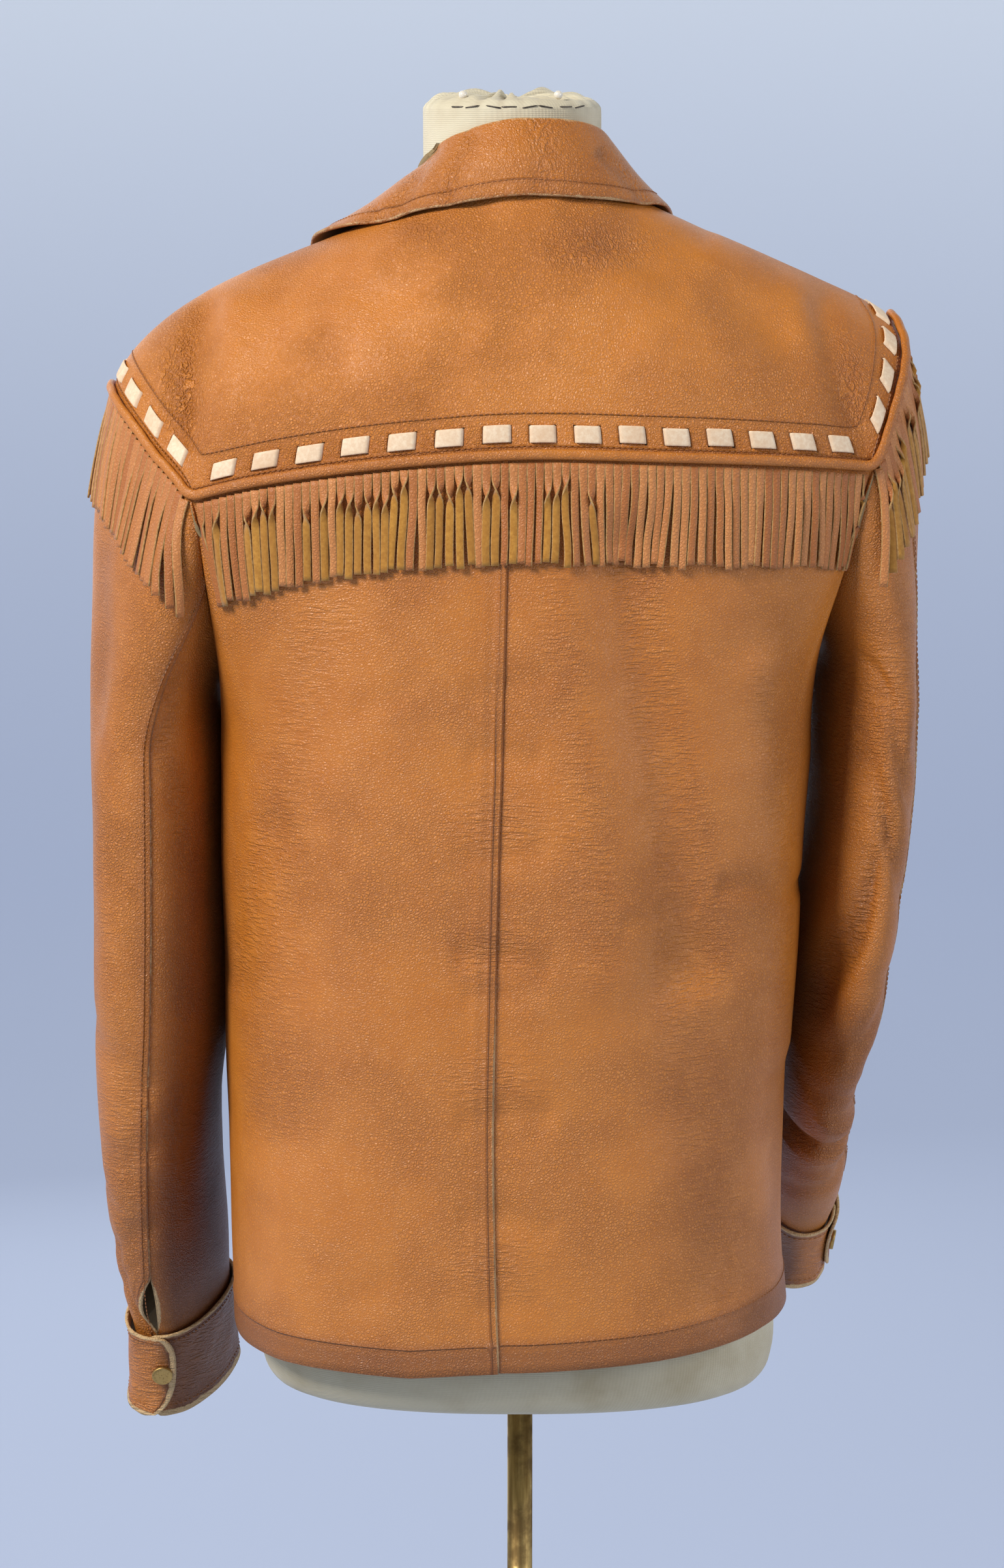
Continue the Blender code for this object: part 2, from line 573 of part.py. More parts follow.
def add_cuff(name, table, seam):
    """A straight band round the wrist whose ends lap over each other at the rear seam."""
    centres = world(table)
    ahead = unit(np.gradient(centres, axis=0))
    side = np.sign(centres[0, 0])
    outer, inner = [], []
    for row, a in zip(table, ahead):
        half = (row[3] + row[4]) / 2000
        span = 2 * np.pi + CUFF_LAP / half
        share = np.linspace(0, 1, 27)
        turn = np.radians(seam[0]) - (CUFF_LAP / half) * 0.35 + share * span
        lift = CUFF_OFF + share * (WALL + CUFF_CLEAR)
        grown, thin = row.copy(), row.copy()
        base = sleeve_ring(row, a, turn)
        grown[3:5] += 1
        out = unit(sleeve_ring(grown, a, turn) - base)
        outer.append(base + out * (lift + WALL)[:, None])
        inner.append(base + out * lift[:, None])
    outer, inner = np.stack(outer), np.stack(inner)
    for grid in (outer, inner):
        for row, back in CUFF_CORNERS:
            grid[row, -1] += unit(grid[row, -2] - grid[row, -1]) * back
    wall(name, outer, inner, LEATHER)
    spot = (outer[1, -2] + outer[2, -2]) / 2
    normal = unit(np.cross(outer[2, -2] - outer[1, -2], outer[1, -1] - outer[1, -3]))
    if np.dot(normal, spot - centres.mean(axis=0)) < 0:
        normal = -normal
    disc(f"snap_{name}", spot + normal * SNAP_OFF, normal, SNAP_RADIUS, SNAP_HEIGHT, BRASS)


add_cuff("cuff_left", CUFF_LEFT, REAR_SEAM["left"])
add_cuff("cuff_right", CUFF_RIGHT, REAR_SEAM["right"])

# Snaps down the front
for number, row in enumerate((1, 3, 4, 5, 6, 7)):
    spot = (body[row, 0] * 0.55 + body[row, 1] * 0.45)
    out = unit(body_normal[row, 0] + body_normal[row, 1])
    disc(f"snap_front_{number + 1}", spot + out * SNAP_OFF, out, SNAP_RADIUS, SNAP_HEIGHT, BRASS)

# Piping over the seam under the yoke
path = edge[L0:R1 + 1]
out = -inward[L0:R1 + 1]
forward = unit(np.gradient(path, axis=0))
beside = unit(np.cross(forward, out))
centre = path + out * (PIPING_RADIUS + PIPING_OFF)
turns = np.arange(6) * np.pi / 3
ring_stack("piping", np.stack([
    centre[j] + PIPING_RADIUS * (np.cos(turns)[:, None] * out[j] + np.sin(turns)[:, None] * beside[j])
    for j in range(len(path))]), DARK_LEATHER, 0.5)


# Fringe
def on_grid(grid, normal, column, row, lift):
    """Points at fractional columns and rows of a grid, lifted along its normals."""
    column = np.asarray(column, float)
    row = np.asarray(row, float)
    j = np.clip(np.floor(column).astype(int), 0, grid.shape[1] - 2)
    i = np.clip(np.floor(row).astype(int), 0, grid.shape[0] - 2)
    v, u = (column - j)[..., None], (row - i)[..., None]

    def mix(a):
        above = a[i, j] * (1 - v) + a[i, j + 1] * v
        below = a[i + 1, j] * (1 - v) + a[i + 1, j + 1] * v
        return above * (1 - u) + below * u

    return mix(grid) + unit(mix(normal)) * np.asarray(lift)[..., None]


def row_at(grid, column, distance):
    """Fractional row at a distance down from the first row, for each column."""
    fine = np.linspace(0, 6, 121)
    out = np.empty(len(column))
    for k, c in enumerate(column):
        curve = on_grid(grid, np.ones_like(grid), np.full(121, c), fine, np.zeros(121))
        far = np.concatenate([[0], np.cumsum(np.linalg.norm(np.diff(curve, axis=0), axis=1))])
        out[k] = np.interp(distance[k], far, fine)
    return out


def add_fringe(name, grid, normal, first, last, count, lengths, stand, drift, bend_row):
    """Leather strands cut from one strip: a backing under the piping, strands joined to its lower edge."""
    rng = np.random.default_rng(len(name) * 7 + count)
    borders = np.linspace(first, last, count + 1)
    backing = [row_at(grid, borders, np.full(count + 1, d)) for d in BACKING_REACH]
    top_in, low_in = (on_grid(grid, normal, borders, row, np.full(count + 1, lift))
                      for row, lift in zip(backing, BACKING_LIFT))
    top_out, low_out = (on_grid(grid, normal, borders, row, np.full(count + 1, lift + FRINGE_THICK))
                        for row, lift in zip(backing, BACKING_LIFT))
    n = count + 1
    points = [*top_out, *top_in, *low_out, *low_in]
    faces = []
    for j in range(count):
        faces += [(j, j + 1, 2 * n + j + 1, 2 * n + j), (n + j + 1, n + j, 3 * n + j, 3 * n + j + 1),
                  (j + 1, j, n + j, n + j + 1)]
    faces.append((0, 2 * n, 3 * n, n))
    faces.append((count, n + count, 3 * n + count, 2 * n + count))
    centre = (borders[:-1] + borders[1:]) / 2
    width = (borders[1] - borders[0]) * 0.5
    length = np.interp(np.arange(count), np.linspace(0, count - 1, len(lengths)), lengths) / 1000
    length = length * (1 + rng.uniform(-0.045, 0.03, count))
    mid = np.full(count, float(bend_row))
    end = row_at(grid, centre, length)
    lift_mid = stand[0] + rng.uniform(0, 0.0012, count)
    lift_end = stand[1] + rng.uniform(0, 0.0020, count)
    sway = rng.uniform(-0.16, 0.16, count) * width * 2
    push = np.interp(np.arange(count), [0, (count - 1) / 2, count - 1], drift)
    for j in range(count):
        base = len(points)
        steps = (0.5, mid[j], lift_mid[j], 0.70), (1.0, end[j], lift_end[j], 0.62)
        for share, row, lift, body_width in steps:
            place = centre[j] + (sway[j] + push[j]) * share
            pair = np.array([place - width * body_width, place + width * body_width])
            tilt = rng.uniform(-0.0006, 0.0006)
            lifts = np.array([lift + tilt, lift - tilt])
            points += [*on_grid(grid, normal, pair, np.full(2, row), lifts + FRINGE_THICK),
                       *on_grid(grid, normal, pair, np.full(2, row), lifts)]
        root = (2 * n + j, 2 * n + j + 1, 3 * n + j + 1, 3 * n + j)
        middle = (base, base + 1, base + 3, base + 2)
        tip = (base + 4, base + 5, base + 7, base + 6)
        for a, b in ((root, middle), (middle, tip)):
            for k in range(4):
                m = (k + 1) % 4
                faces.append((a[k], a[m], b[m], b[k]))
        faces.append(tip)
    solid(name, points, faces, SUEDE, 0.8)


add_fringe("fringe_back", body, body_normal, B1 + 0.65, B2 - 0.5, 80, (66, 60, 61, 62.5, 62.5, 61, 58),
           (0.0022, 0.0028), (0, 0, 0), 1)
open_left = np.concatenate([left_grid, left_grid[:, :1]], axis=1)
open_left_normal = np.concatenate([left_normal, left_normal[:, :1]], axis=1)
open_right = np.concatenate([right_grid, right_grid[:, :1]], axis=1)
open_right_normal = np.concatenate([right_normal, right_normal[:, :1]], axis=1)
add_fringe("fringe_arm_left", open_left, open_left_normal, 0.3, ARM_CELLS - 0.05, 44,
           (62, 64, 66, 66, 64, 68), (0.0030, 0.0050), (0, 0, 0.3), 2)
add_fringe("fringe_arm_right", open_right, open_right_normal, 0.3, ARM_CELLS - 0.05, 44,
           (62, 64, 66, 66, 64, 64), (0.0030, 0.0050), (0, 0, 0.3), 2)

# Collar: a stand that folds over into a leaf
turn = np.radians(np.linspace(COLLAR[0, 0], COLLAR[-1, 0], 27))
fold_z, leaf, lift = smooth_table(COLLAR, np.degrees(turn)).T
at = np.interp(turn, azimuth, np.arange(len(azimuth)))


def yoke_under(where, distance, lift):
    """Yoke points at a distance down from the neck, at fractional columns, lifted off it."""
    rows, flats = [], []
    for d in (distance, distance + 0.002):
        curve = yoke_at(distance_from_neck=np.interp(columns, where, d))
        rows.append(np.stack([np.interp(where, columns, curve[:, k]) for k in range(3)], axis=-1))
    normal = unit(np.cross(rows[1] - rows[0], np.gradient(rows[0], axis=0)))
    return rows[0] + normal * lift[:, None]


leaf_edge = yoke_under(at, leaf / 1000, lift / 1000)
stand_base = neck_ring(turn, STAND_BASE[0], neck_height(turn) + STAND_BASE[1])
stand_top = neck_ring(turn, STAND_TOP[0], fold_z + STAND_TOP[1])
fold_top = neck_ring(turn, FOLD_TOP, fold_z)
fold_out = neck_ring(turn, FOLD_OUT[0], fold_z + FOLD_OUT[1])
swell = LEAF_SWELL * np.maximum(np.sin(turn), 0) ** 2
droop = LEAF_DROOP * np.maximum(-np.sin(turn), 0) - LEAF_SINK
leaf_mid = fold_out * 0.5 + leaf_edge * 0.5 + np.stack([swell * np.cos(turn), swell, swell + droop], axis=-1)
collar = np.stack([stand_base, stand_top, fold_top, fold_out, leaf_mid, leaf_edge])
collar_normal = grid_normals(collar)
spread = np.stack([np.cos(turn), np.sin(turn), 0 * turn], axis=-1)
collar_normal[0] = -spread
wall("collar", collar, collar - collar_normal * WALL, LEATHER)

# Dress form, pole and base
turns = np.arange(32) * 2 * np.pi / 32
rings = []
for z, centre_x, half, back, front in FORM:
    power = 2.4 if z < -70 else 2.0
    x, y = oval(turns, centre_x, half, back, front, power)
    rings.append(world(np.stack([x, y, np.full(32, z)], axis=-1)))
ring_stack("dress_form", np.stack(rings), CANVAS, 0.9)

circle = np.stack([np.cos(turns), np.sin(turns), 0 * turns], axis=-1)
pole_top = world(FORM[0, [1, 1, 0]])[2] - GAP
ring_stack("pole", np.stack([circle * POLE_RADIUS + (0, 0, z) for z in (BASE_HEIGHT + GAP, pole_top)]),
           BRASS, 0.4, 1.0)
ring_stack("base", np.stack([circle * r + (0, 0, z) for r, z in (
    (BASE_RADIUS, 0), (BASE_RADIUS, BASE_HEIGHT * 0.6), (BASE_RADIUS - 0.006, BASE_HEIGHT))]), IRON, 0.5, 0.0)
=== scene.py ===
import bpy
import numpy as np
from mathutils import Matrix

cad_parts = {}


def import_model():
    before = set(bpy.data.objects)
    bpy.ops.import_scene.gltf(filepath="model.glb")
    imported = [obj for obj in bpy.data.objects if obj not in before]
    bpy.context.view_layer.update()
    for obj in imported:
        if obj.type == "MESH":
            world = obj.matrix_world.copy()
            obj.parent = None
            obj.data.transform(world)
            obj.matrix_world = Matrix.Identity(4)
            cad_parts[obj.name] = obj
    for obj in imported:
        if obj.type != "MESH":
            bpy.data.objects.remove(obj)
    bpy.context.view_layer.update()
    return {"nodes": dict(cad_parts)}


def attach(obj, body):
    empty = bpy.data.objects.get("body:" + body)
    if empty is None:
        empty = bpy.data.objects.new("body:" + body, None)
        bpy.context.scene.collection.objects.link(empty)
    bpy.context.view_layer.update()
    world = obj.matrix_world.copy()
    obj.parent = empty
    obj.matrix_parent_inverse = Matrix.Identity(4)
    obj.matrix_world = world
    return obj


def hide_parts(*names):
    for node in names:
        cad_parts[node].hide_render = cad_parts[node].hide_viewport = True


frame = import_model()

# Round base
# A turned steel disc, painted satin black, with a soft edge. It carries the pole and stands on
# the floor. The photograph ends above it, so its size is a guess.
BASE_RADIUS, BASE_HEIGHT, BASE_EDGE = 0.185, 0.016, 0.005
FOOT_IN, FOOT_UP = 0.004, 0.003
TOP_RINGS = [0.060, 0.030, 0.029, 0.022, 0.0]


def unit(v):
    """Vectors scaled to length one."""
    return v / np.maximum(np.linalg.norm(v, axis=-1, keepdims=True), 1e-12)


def add_mesh(name, points, faces, materials, slots=None, **layers):
    """A smooth-shaded mesh from arrays, riding on the one body, with a float layer for each extra array."""
    mesh = bpy.data.meshes.new(name)
    mesh.from_pydata(np.asarray(points, float), [], np.asarray(faces, int).tolist())
    for key, values in layers.items():
        layer = mesh.attributes.new(key, "FLOAT", "POINT")
        layer.data.foreach_set("value", np.asarray(values, np.float32).ravel())
    for material in materials:
        mesh.materials.append(material)
    if slots is not None:
        mesh.polygons.foreach_set("material_index", np.asarray(slots, np.int32))
    mesh.polygons.foreach_set("use_smooth", np.ones(len(mesh.polygons), bool))
    piece = bpy.data.objects.new(name, mesh)
    bpy.context.scene.collection.objects.link(piece)
    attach(piece, "root")
    return piece


def grid_faces(rows, cols, wrap=False):
    """Quads between the neighbours of a numbered grid, the last column joined to the first if it wraps."""
    number = np.arange(rows * cols).reshape(rows, cols)
    beside = np.roll(number, -1, axis=1) if wrap else number[:, 1:]
    here = number if wrap else number[:, :-1]
    return np.stack([here[:-1], beside[:-1], beside[1:], here[1:]], axis=-1).reshape(-1, 4)


def turned(name, radii, heights, centre, materials, steps=96):
    """A profile carried round an upright axis: x and y are the radius times cos and sin of the turn."""
    turn = np.arange(steps) * 2 * np.pi / steps
    radii, heights = np.asarray(radii, float), np.asarray(heights, float)
    ring = np.stack([np.cos(turn), np.sin(turn), 0 * turn], axis=-1)
    points = ring[None] * radii[:, None, None] + np.array([0, 0, 1.0]) * heights[:, None, None]
    points[:, :, :2] += centre
    faces = grid_faces(len(radii), steps, wrap=True)
    return add_mesh(name, points.reshape(-1, 3), faces, materials)


class Signal:
    """A shader value that adds Math nodes when it is used with +, -, * and abs."""

    def __init__(self, paint, socket):
        self.paint, self.socket = paint, socket

    def joined(self, operation, first, second):
        return self.paint.node("ShaderNodeMath", {"operation": operation}, {0: first, 1: second})

    def __add__(self, other):
        return self.joined("ADD", self, other)

    def __radd__(self, other):
        return self.joined("ADD", other, self)

    def __sub__(self, other):
        return self.joined("SUBTRACT", self, other)

    def __rsub__(self, other):
        return self.joined("SUBTRACT", other, self)

    def __mul__(self, other):
        return self.joined("MULTIPLY", self, other)

    def __rmul__(self, other):
        return self.joined("MULTIPLY", other, self)

    def __abs__(self):
        return self.joined("ABSOLUTE", self, 0.0)


class Paint:
    """One material: its shader, and the nodes that vary it over the surface."""

    def __init__(self, name, **fixed):
        self.material = bpy.data.materials.new(name)
        self.material.use_nodes = True
        self.tree = self.material.node_tree
        self.shader = self.tree.nodes["Principled BSDF"]
        for key, value in fixed.items():
            self.shader.inputs[key.replace("_", " ")].default_value = value

    def node(self, kind, settings, sockets, output=0):
        """A node of any type: settings first, then its sockets' values or links."""
        made = self.tree.nodes.new(kind)
        for key, value in settings.items():
            setattr(made, key, value)
        for key, value in sockets.items():
            if isinstance(value, Signal):
                self.tree.links.new(value.socket, made.inputs[key])
            else:
                made.inputs[key].default_value = value
        return Signal(self, made.outputs[output])

    def place(self):
        return self.node("ShaderNodeTexCoord", {}, {}, "Object")

    def layer(self, name):
        return self.node("ShaderNodeAttribute", {"attribute_name": name}, {}, "Fac")

    def noise(self, place, scale, detail=3.0, rough=0.55):
        return self.node("ShaderNodeTexNoise", {}, {"Vector": place, "Scale": scale, "Detail": detail,
                                                    "Roughness": rough})

    def cells(self, place, scale):
        return self.node("ShaderNodeTexVoronoi", {"feature": "DISTANCE_TO_EDGE"},
                         {"Vector": place, "Scale": scale})

    def stretched(self, place, scale):
        return self.node("ShaderNodeMapping", {}, {"Vector": place, "Scale": scale})

    def step(self, value, low, high, to_low=0.0, to_high=1.0):
        """A smooth step from to_low to to_high as value goes from low to high."""
        return self.node("ShaderNodeMapRange", {"interpolation_type": "SMOOTHSTEP"},
                         {0: value, 1: low, 2: high, 3: to_low, 4: to_high})

    def mixed(self, share, first, second):
        """A colour between two colours."""
        return self.node("ShaderNodeMix", {"data_type": "RGBA"}, {0: share, 6: first, 7: second}, 2)

    def finish(self, colour=None, rough=None, height=None, distance=0.001, strength=1.0):
        """Link the colour, the roughness and the bump from a height."""
        for socket, value in (("Base Color", colour), ("Roughness", rough)):
            if value is not None:
                self.tree.links.new(value.socket, self.shader.inputs[socket])
        if height is not None:
            bump = self.node("ShaderNodeBump", {},
                             {"Height": height, "Distance": distance, "Strength": strength})
            self.tree.links.new(bump.socket, self.shader.inputs["Normal"])
        return self.material


def black_paint():
    paint = Paint("black_paint", Roughness=0.45)
    place = paint.place()
    dust = paint.step(paint.noise(place, 14.0, 5.0), 0.45, 0.75)
    colour = paint.mixed(dust * 0.5, (0.018, 0.018, 0.020, 1), (0.060, 0.058, 0.055, 1))
    return paint.finish(colour, 0.38 + 0.18 * dust, paint.noise(place, 900.0, 2.0), 0.0001, 0.5)


edge_turn = np.linspace(0, np.pi / 2, 8)
base_radii = np.concatenate([
    [0.0, BASE_RADIUS - FOOT_IN, BASE_RADIUS], BASE_RADIUS - BASE_EDGE * (1 - np.cos(edge_turn)), TOP_RINGS])
base_heights = np.concatenate([
    [0.0, 0.0, FOOT_UP], BASE_HEIGHT - BASE_EDGE + BASE_EDGE * np.sin(edge_turn),
    [BASE_HEIGHT] * len(TOP_RINGS)])
base = turned("base_disc", base_radii, base_heights, (0, 0), [black_paint()])
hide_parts("base")

# Brass pole
# A thin drawn brass tube that rises from the base to the form's underside. Handling has worn it,
# so bright streaks run along it between browned patches.
POLE_RADIUS = 0.0078
NECK_TOP = 1.500
FORM_BOTTOM = NECK_TOP - 0.777


def worn_brass():
    paint = Paint("pole_brass", Metallic=1.0)
    place = paint.place()
    streaks = paint.noise(paint.stretched(place, (160.0, 160.0, 9.0)), 1.0, 5.0, 0.65)
    brown = paint.step(paint.noise(place, 34.0, 5.0, 0.6), 0.42, 0.62)
    bright = paint.mixed(paint.step(streaks, 0.35, 0.7), (0.30, 0.19, 0.065, 1), (0.62, 0.44, 0.17, 1))
    colour = paint.mixed(brown * 0.65, bright, (0.105, 0.060, 0.024, 1))
    return paint.finish(colour, 0.26 + 0.30 * brown + 0.10 * streaks, streaks, 0.0002, 0.5)


pole = turned("brass_pole", [0.0, POLE_RADIUS, POLE_RADIUS, 0.0],
              [BASE_HEIGHT, BASE_HEIGHT, FORM_BOTTOM, FORM_BOTTOM], (0, 0), [worn_brass()], 48)
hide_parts("pole")

# Dress form
# A padded limbless torso covered in cream cotton canvas. The cover is drawn in over the neck's
# top in small gathers held by two pearl-headed pins, and stands below the hem as a round rim.
# z, centre x, half width, depth behind and depth before, in mm with z from the neck's top
FORM = np.array([
    (-777, 2, 144, 101, 113), (-773, 2, 151, 107, 120), (-762, 2, 156.5, 112, 125), (-735, 3, 159, 115, 129),
    (-650, 5, 152, 112, 132), (-550, 5, 150, 112, 134), (-450, 4, 158, 120, 136), (-385, 3, 164, 125, 136),
    (-300, 3, 165, 127, 133), (-230, 2, 167, 125, 124), (-180, 0, 168, 119, 110), (-145, -2, 164, 110, 95),
    (-125, -5, 154, 103, 80), (-108, -8, 134, 94, 62), (-92, -10, 103, 84, 50), (-80, -7, 76, 72, 45),
    (-72, 0, 60, 63, 43), (-66, 2.5, 58.5, 59, 44), (-48, 4, 53.5, 54, 50), (-34, 5, 53, 53, 52),
    (-8, 5, 53, 53, 53), (-3, 5, 52, 52, 52), (0, 5, 49, 49, 49)])
GATHER_COUNT = 26
FORM_STEPS, CAP_ROWS = 160, 16
FORM_POWER, NECK_POWER = 2.4, 2.0
CAP_CENTRE, CAP_RADIUS = 5, 49


def world(rows):
    """Points from millimetres below the neck's top to metres over the floor."""
    out = np.array(rows, float)[..., :3] / 1000
    out[..., 2] += NECK_TOP
    return out


def spline(knots, per=24, closed=False):
    """A Catmull-Rom curve through the knots: each stretch is the cubic with the neighbours' slopes."""
    knots = np.asarray(knots, float)
    if closed:
        padded = np.vstack([knots[-1:], knots, knots[:2]])
    else:
        padded = np.vstack([2 * knots[:1] - knots[1:2], knots, 2 * knots[-1:] - knots[-2:-1]])
    a, b, c, d = (part[:, None] for part in (padded[:-3], padded[1:-2], padded[2:-1], padded[3:]))
    t = np.linspace(0, 1, per, endpoint=False)[None, :, None]
    curve = 0.5 * (2 * b + (c - a) * t + (2 * a - 5 * b + 4 * c - d) * t**2 + (3 * b - a - 3 * c + d) * t**3)
    return np.vstack([curve.reshape(-1, knots.shape[1]), knots[:1] if closed else knots[-1:]])


def smooth_table(table, at):
    """A table's columns at new values of its first column, along the curve through its rows."""
    curve = spline(table)
    return np.stack([np.interp(at, curve[:, 0], curve[:, k]) for k in range(1, table.shape[1])], axis=-1)


def oval(angle, centre, half_x, back, front, power):
    """Superellipse: x = half width times cos to the 2/power, y the same with sin, with the signs kept."""
    c, s = np.cos(angle), np.sin(angle)
    depth = np.where(s > 0, back, front)
    x = centre + half_x * np.sign(c) * np.abs(c) ** (2 / power)
    return x, depth * np.sign(s) * np.abs(s) ** (2 / power)


def canvas():
    paint = Paint("cream_canvas", Roughness=0.92, Sheen_Weight=0.15)
    place = paint.place()
    across = paint.node("ShaderNodeTexWave", {"bands_direction": "Z"},
                        {"Vector": place, "Scale": 260.0, "Distortion": 1.5, "Detail": 1.0})
    upright = paint.node("ShaderNodeTexWave", {"bands_direction": "DIAGONAL"},
                         {"Vector": paint.stretched(place, (1.0, 1.0, 0.0)), "Scale": 240.0,
                          "Distortion": 1.5})
    stain = paint.step(paint.noise(place, 9.0, 5.0, 0.6), 0.42, 0.72)
    high = paint.node("ShaderNodeSeparateXYZ", {}, {0: place}, 2)
    # Stains, and the form darker below the jacket's hem: painted shade there, with staining
    low = paint.step(high, 0.745, 0.775, 1.0, 0.0)
    stain_and_shade = paint.mixed(stain * 0.5 + low * 0.45, (0.72, 0.65, 0.47, 1), (0.40, 0.31, 0.17, 1))
    # Painted shade in the troughs between the gathers
    pucker = paint.layer("pucker")
    colour = paint.mixed(pucker * 0.55, stain_and_shade, (0.36, 0.28, 0.18, 1))
    return paint.finish(colour, None, across * 0.5 + upright * 0.5, 0.0003, 0.6)


turn = np.arange(FORM_STEPS) * 2 * np.pi / FORM_STEPS
levels = spline(FORM, 5)
form_x, form_y = oval(turn[None], *(levels[:, k, None] for k in range(1, 5)), FORM_POWER)
round_x, round_y = oval(turn[None], *(levels[:, k, None] for k in range(1, 5)), NECK_POWER)
is_neck = np.clip((levels[:, 0] + 90) / 25, 0, 1)[:, None]
form_rows = np.stack([form_x * (1 - is_neck) + round_x * is_neck, form_y * (1 - is_neck) + round_y * is_neck,
                      np.broadcast_to(levels[:, :1], form_x.shape)], axis=-1)
# The gathers: radial ridges over the cap, deepest halfway in, from a rounded edge to a drawn-in middle
cap_share = np.linspace(0.06, 1, CAP_ROWS)[:, None]
ridge = np.sin(turn * GATHER_COUNT + 1.3 * np.sin(turn * 3)) * (0.6 + 0.4 * np.sin(turn * 5 + 1))
edge_radius = CAP_RADIUS * (1 - cap_share**1.3)
crumple = 1 + 0.5 * np.sin(turn * 2 + 0.4) + 0.4 * np.sin(turn * 7 + cap_share * 9)
cap_z = (2.4 + 2.2 * ridge) * crumple * np.sin(cap_share * np.pi) ** 0.8
cap = np.stack([CAP_CENTRE + edge_radius * np.cos(turn), edge_radius * np.sin(turn), cap_z], axis=-1)
floor_share = np.linspace(1, 0.0, 8)[:-1, None]
floor_sizes = FORM[0, 2:, None, None] * (1 - floor_share)
floor_x, floor_y = oval(turn[None], FORM[0, 1], *floor_sizes, FORM_POWER)
under = np.stack([floor_x, floor_y, np.full_like(floor_x, FORM[0, 0])], axis=-1)
shape = np.concatenate([under, form_rows, cap])
drawn = np.clip((shape[:, :, 2] + 16) / 14, 0, 1) ** 2
drawn[:-CAP_ROWS] *= 0.7
shape[:-CAP_ROWS, :, :2] *= (1 + 0.012 * ridge[None, :, None] * drawn[:-CAP_ROWS, :, None])
# Painted shade in the troughs between the gathers
pucker = np.clip(-ridge[None] * drawn * 0.9, 0, 1)
form = add_mesh("canvas_form", world(shape).reshape(-1, 3), grid_faces(len(shape), FORM_STEPS, wrap=True),
                [canvas()], pucker=pucker.ravel())
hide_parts("dress_form")


def ball(name, centre, radius, material):
    """A sphere from latitude and longitude, its poles drawn to a point."""
    up = np.linspace(-np.pi / 2, np.pi / 2, 12)
    return turned(name, radius * np.cos(up), centre[2] + radius * np.sin(up), centre[:2], [material], 20)


def pearl():
    paint = Paint("pearl_head", Roughness=0.22, Coat_Weight=0.6)
    place = paint.place()
    colour = paint.mixed(paint.noise(place, 300.0), (0.86, 0.80, 0.68, 1), (0.72, 0.64, 0.52, 1))
    return paint.finish(colour, None, paint.noise(place, 700.0), 0.0001, 0.2)


pearl_material = pearl()
for number, (pin_x, pin_y) in enumerate(((34, 34), (-22, 36))):
    pin = ball(f"pin_head_{number + 1}", world((pin_x, pin_y, 3.2)), 0.0026, pearl_material)

# Wire staples that hold the drawn-in cover round the neck's rim
STAPLE_TURNS = np.radians([52, 63, 78, 88, 101, 112, 127, 139, 200, 250, 300, 340])
STAPLE_REACH, STAPLE_DOWN, STAPLE_WIRE, STAPLE_HALF_TURN = 52.9, -3.6, 0.45, 0.095


def staple_wire():
    paint = Paint("staple_wire", Metallic=1.0)
    rust = paint.noise(paint.place(), 900.0, 3.0)
    return paint.finish(paint.mixed(rust, (0.06, 0.05, 0.045, 1), (0.20, 0.17, 0.14, 1)), 0.35 + 0.3 * rust)


staple_material = staple_wire()
for number, turn_at in enumerate(STAPLE_TURNS):
    share = np.linspace(-1, 1, 9)[:, None]
    section = np.linspace(0, 2 * np.pi, 6, endpoint=False)
    bow = turn_at + STAPLE_HALF_TURN * share + 0 * section
    wire = STAPLE_WIRE * np.sqrt(np.clip(1.02 - share**8, 0, 1))
    reach = STAPLE_REACH - 0.9 * share**8 + wire * np.cos(section)
    rise = STAPLE_DOWN + 0.9 * share * np.sin(number * 2.1) + wire * np.sin(section)
    ring = np.stack([CAP_CENTRE + reach * np.cos(bow), reach * np.sin(bow), rise], axis=-1)
    staple = add_mesh(f"staple_{number + 1}", world(ring).reshape(-1, 3), grid_faces(9, 6, wrap=True),
                      [staple_material])

# Body of the jacket
# Four panels of tan deerskin, about 1.8 mm thick: two backs sewn down the middle with a lapped
# and topstitched seam, and two fronts, the wearer's left over the right. The hem is turned up.
WALL = 0.0018
FINE = 8
BACK_CELLS, ARM_CELLS, UNDER_CELLS, FRONT_CELLS, SEAM_CELL = 31, 17, 12, 5, 14
ARMHOLE_LEFT = np.array([
    (188, -98, -222), (214, -64, -197), (236, -30, -177), (243, 2, -169), (236, 36, -178),
    (215, 70, -202), (192, 99, -228), (185, 92, -272), (181, 60, -312), (179, 2, -337), (181, -58, -312),
    (184, -90, -268)])
ARMHOLE_RIGHT = np.array([
    (-198, -92, -206), (-214, -62, -170), (-222, -30, -141), (-220, 2, -128), (-226, 36, -146),
    (-219, 64, -173), (-205, 90, -211), (-191, 86, -256), (-182, 58, -290), (-178, 2, -312),
    (-181, -56, -290), (-190, -84, -250)])
BACK_LINE = np.array([
    (192, 99, -228), (150, 118, -217), (80, 135, -206), (0, 140, -200), (-80, 134, -202), (-155, 115, -206),
    (-205, 90, -211)])
FRONT_LEFT = np.array([
    (-15, -146, -221), (45, -145, -222), (115, -133, -223), (160, -115, -223), (188, -98, -222)])
FRONT_RIGHT = np.array([(15, -146, -221), (-45, -145, -220), (-115, -133, -216), (-168, -112, -211),
                        (-198, -92, -206)])
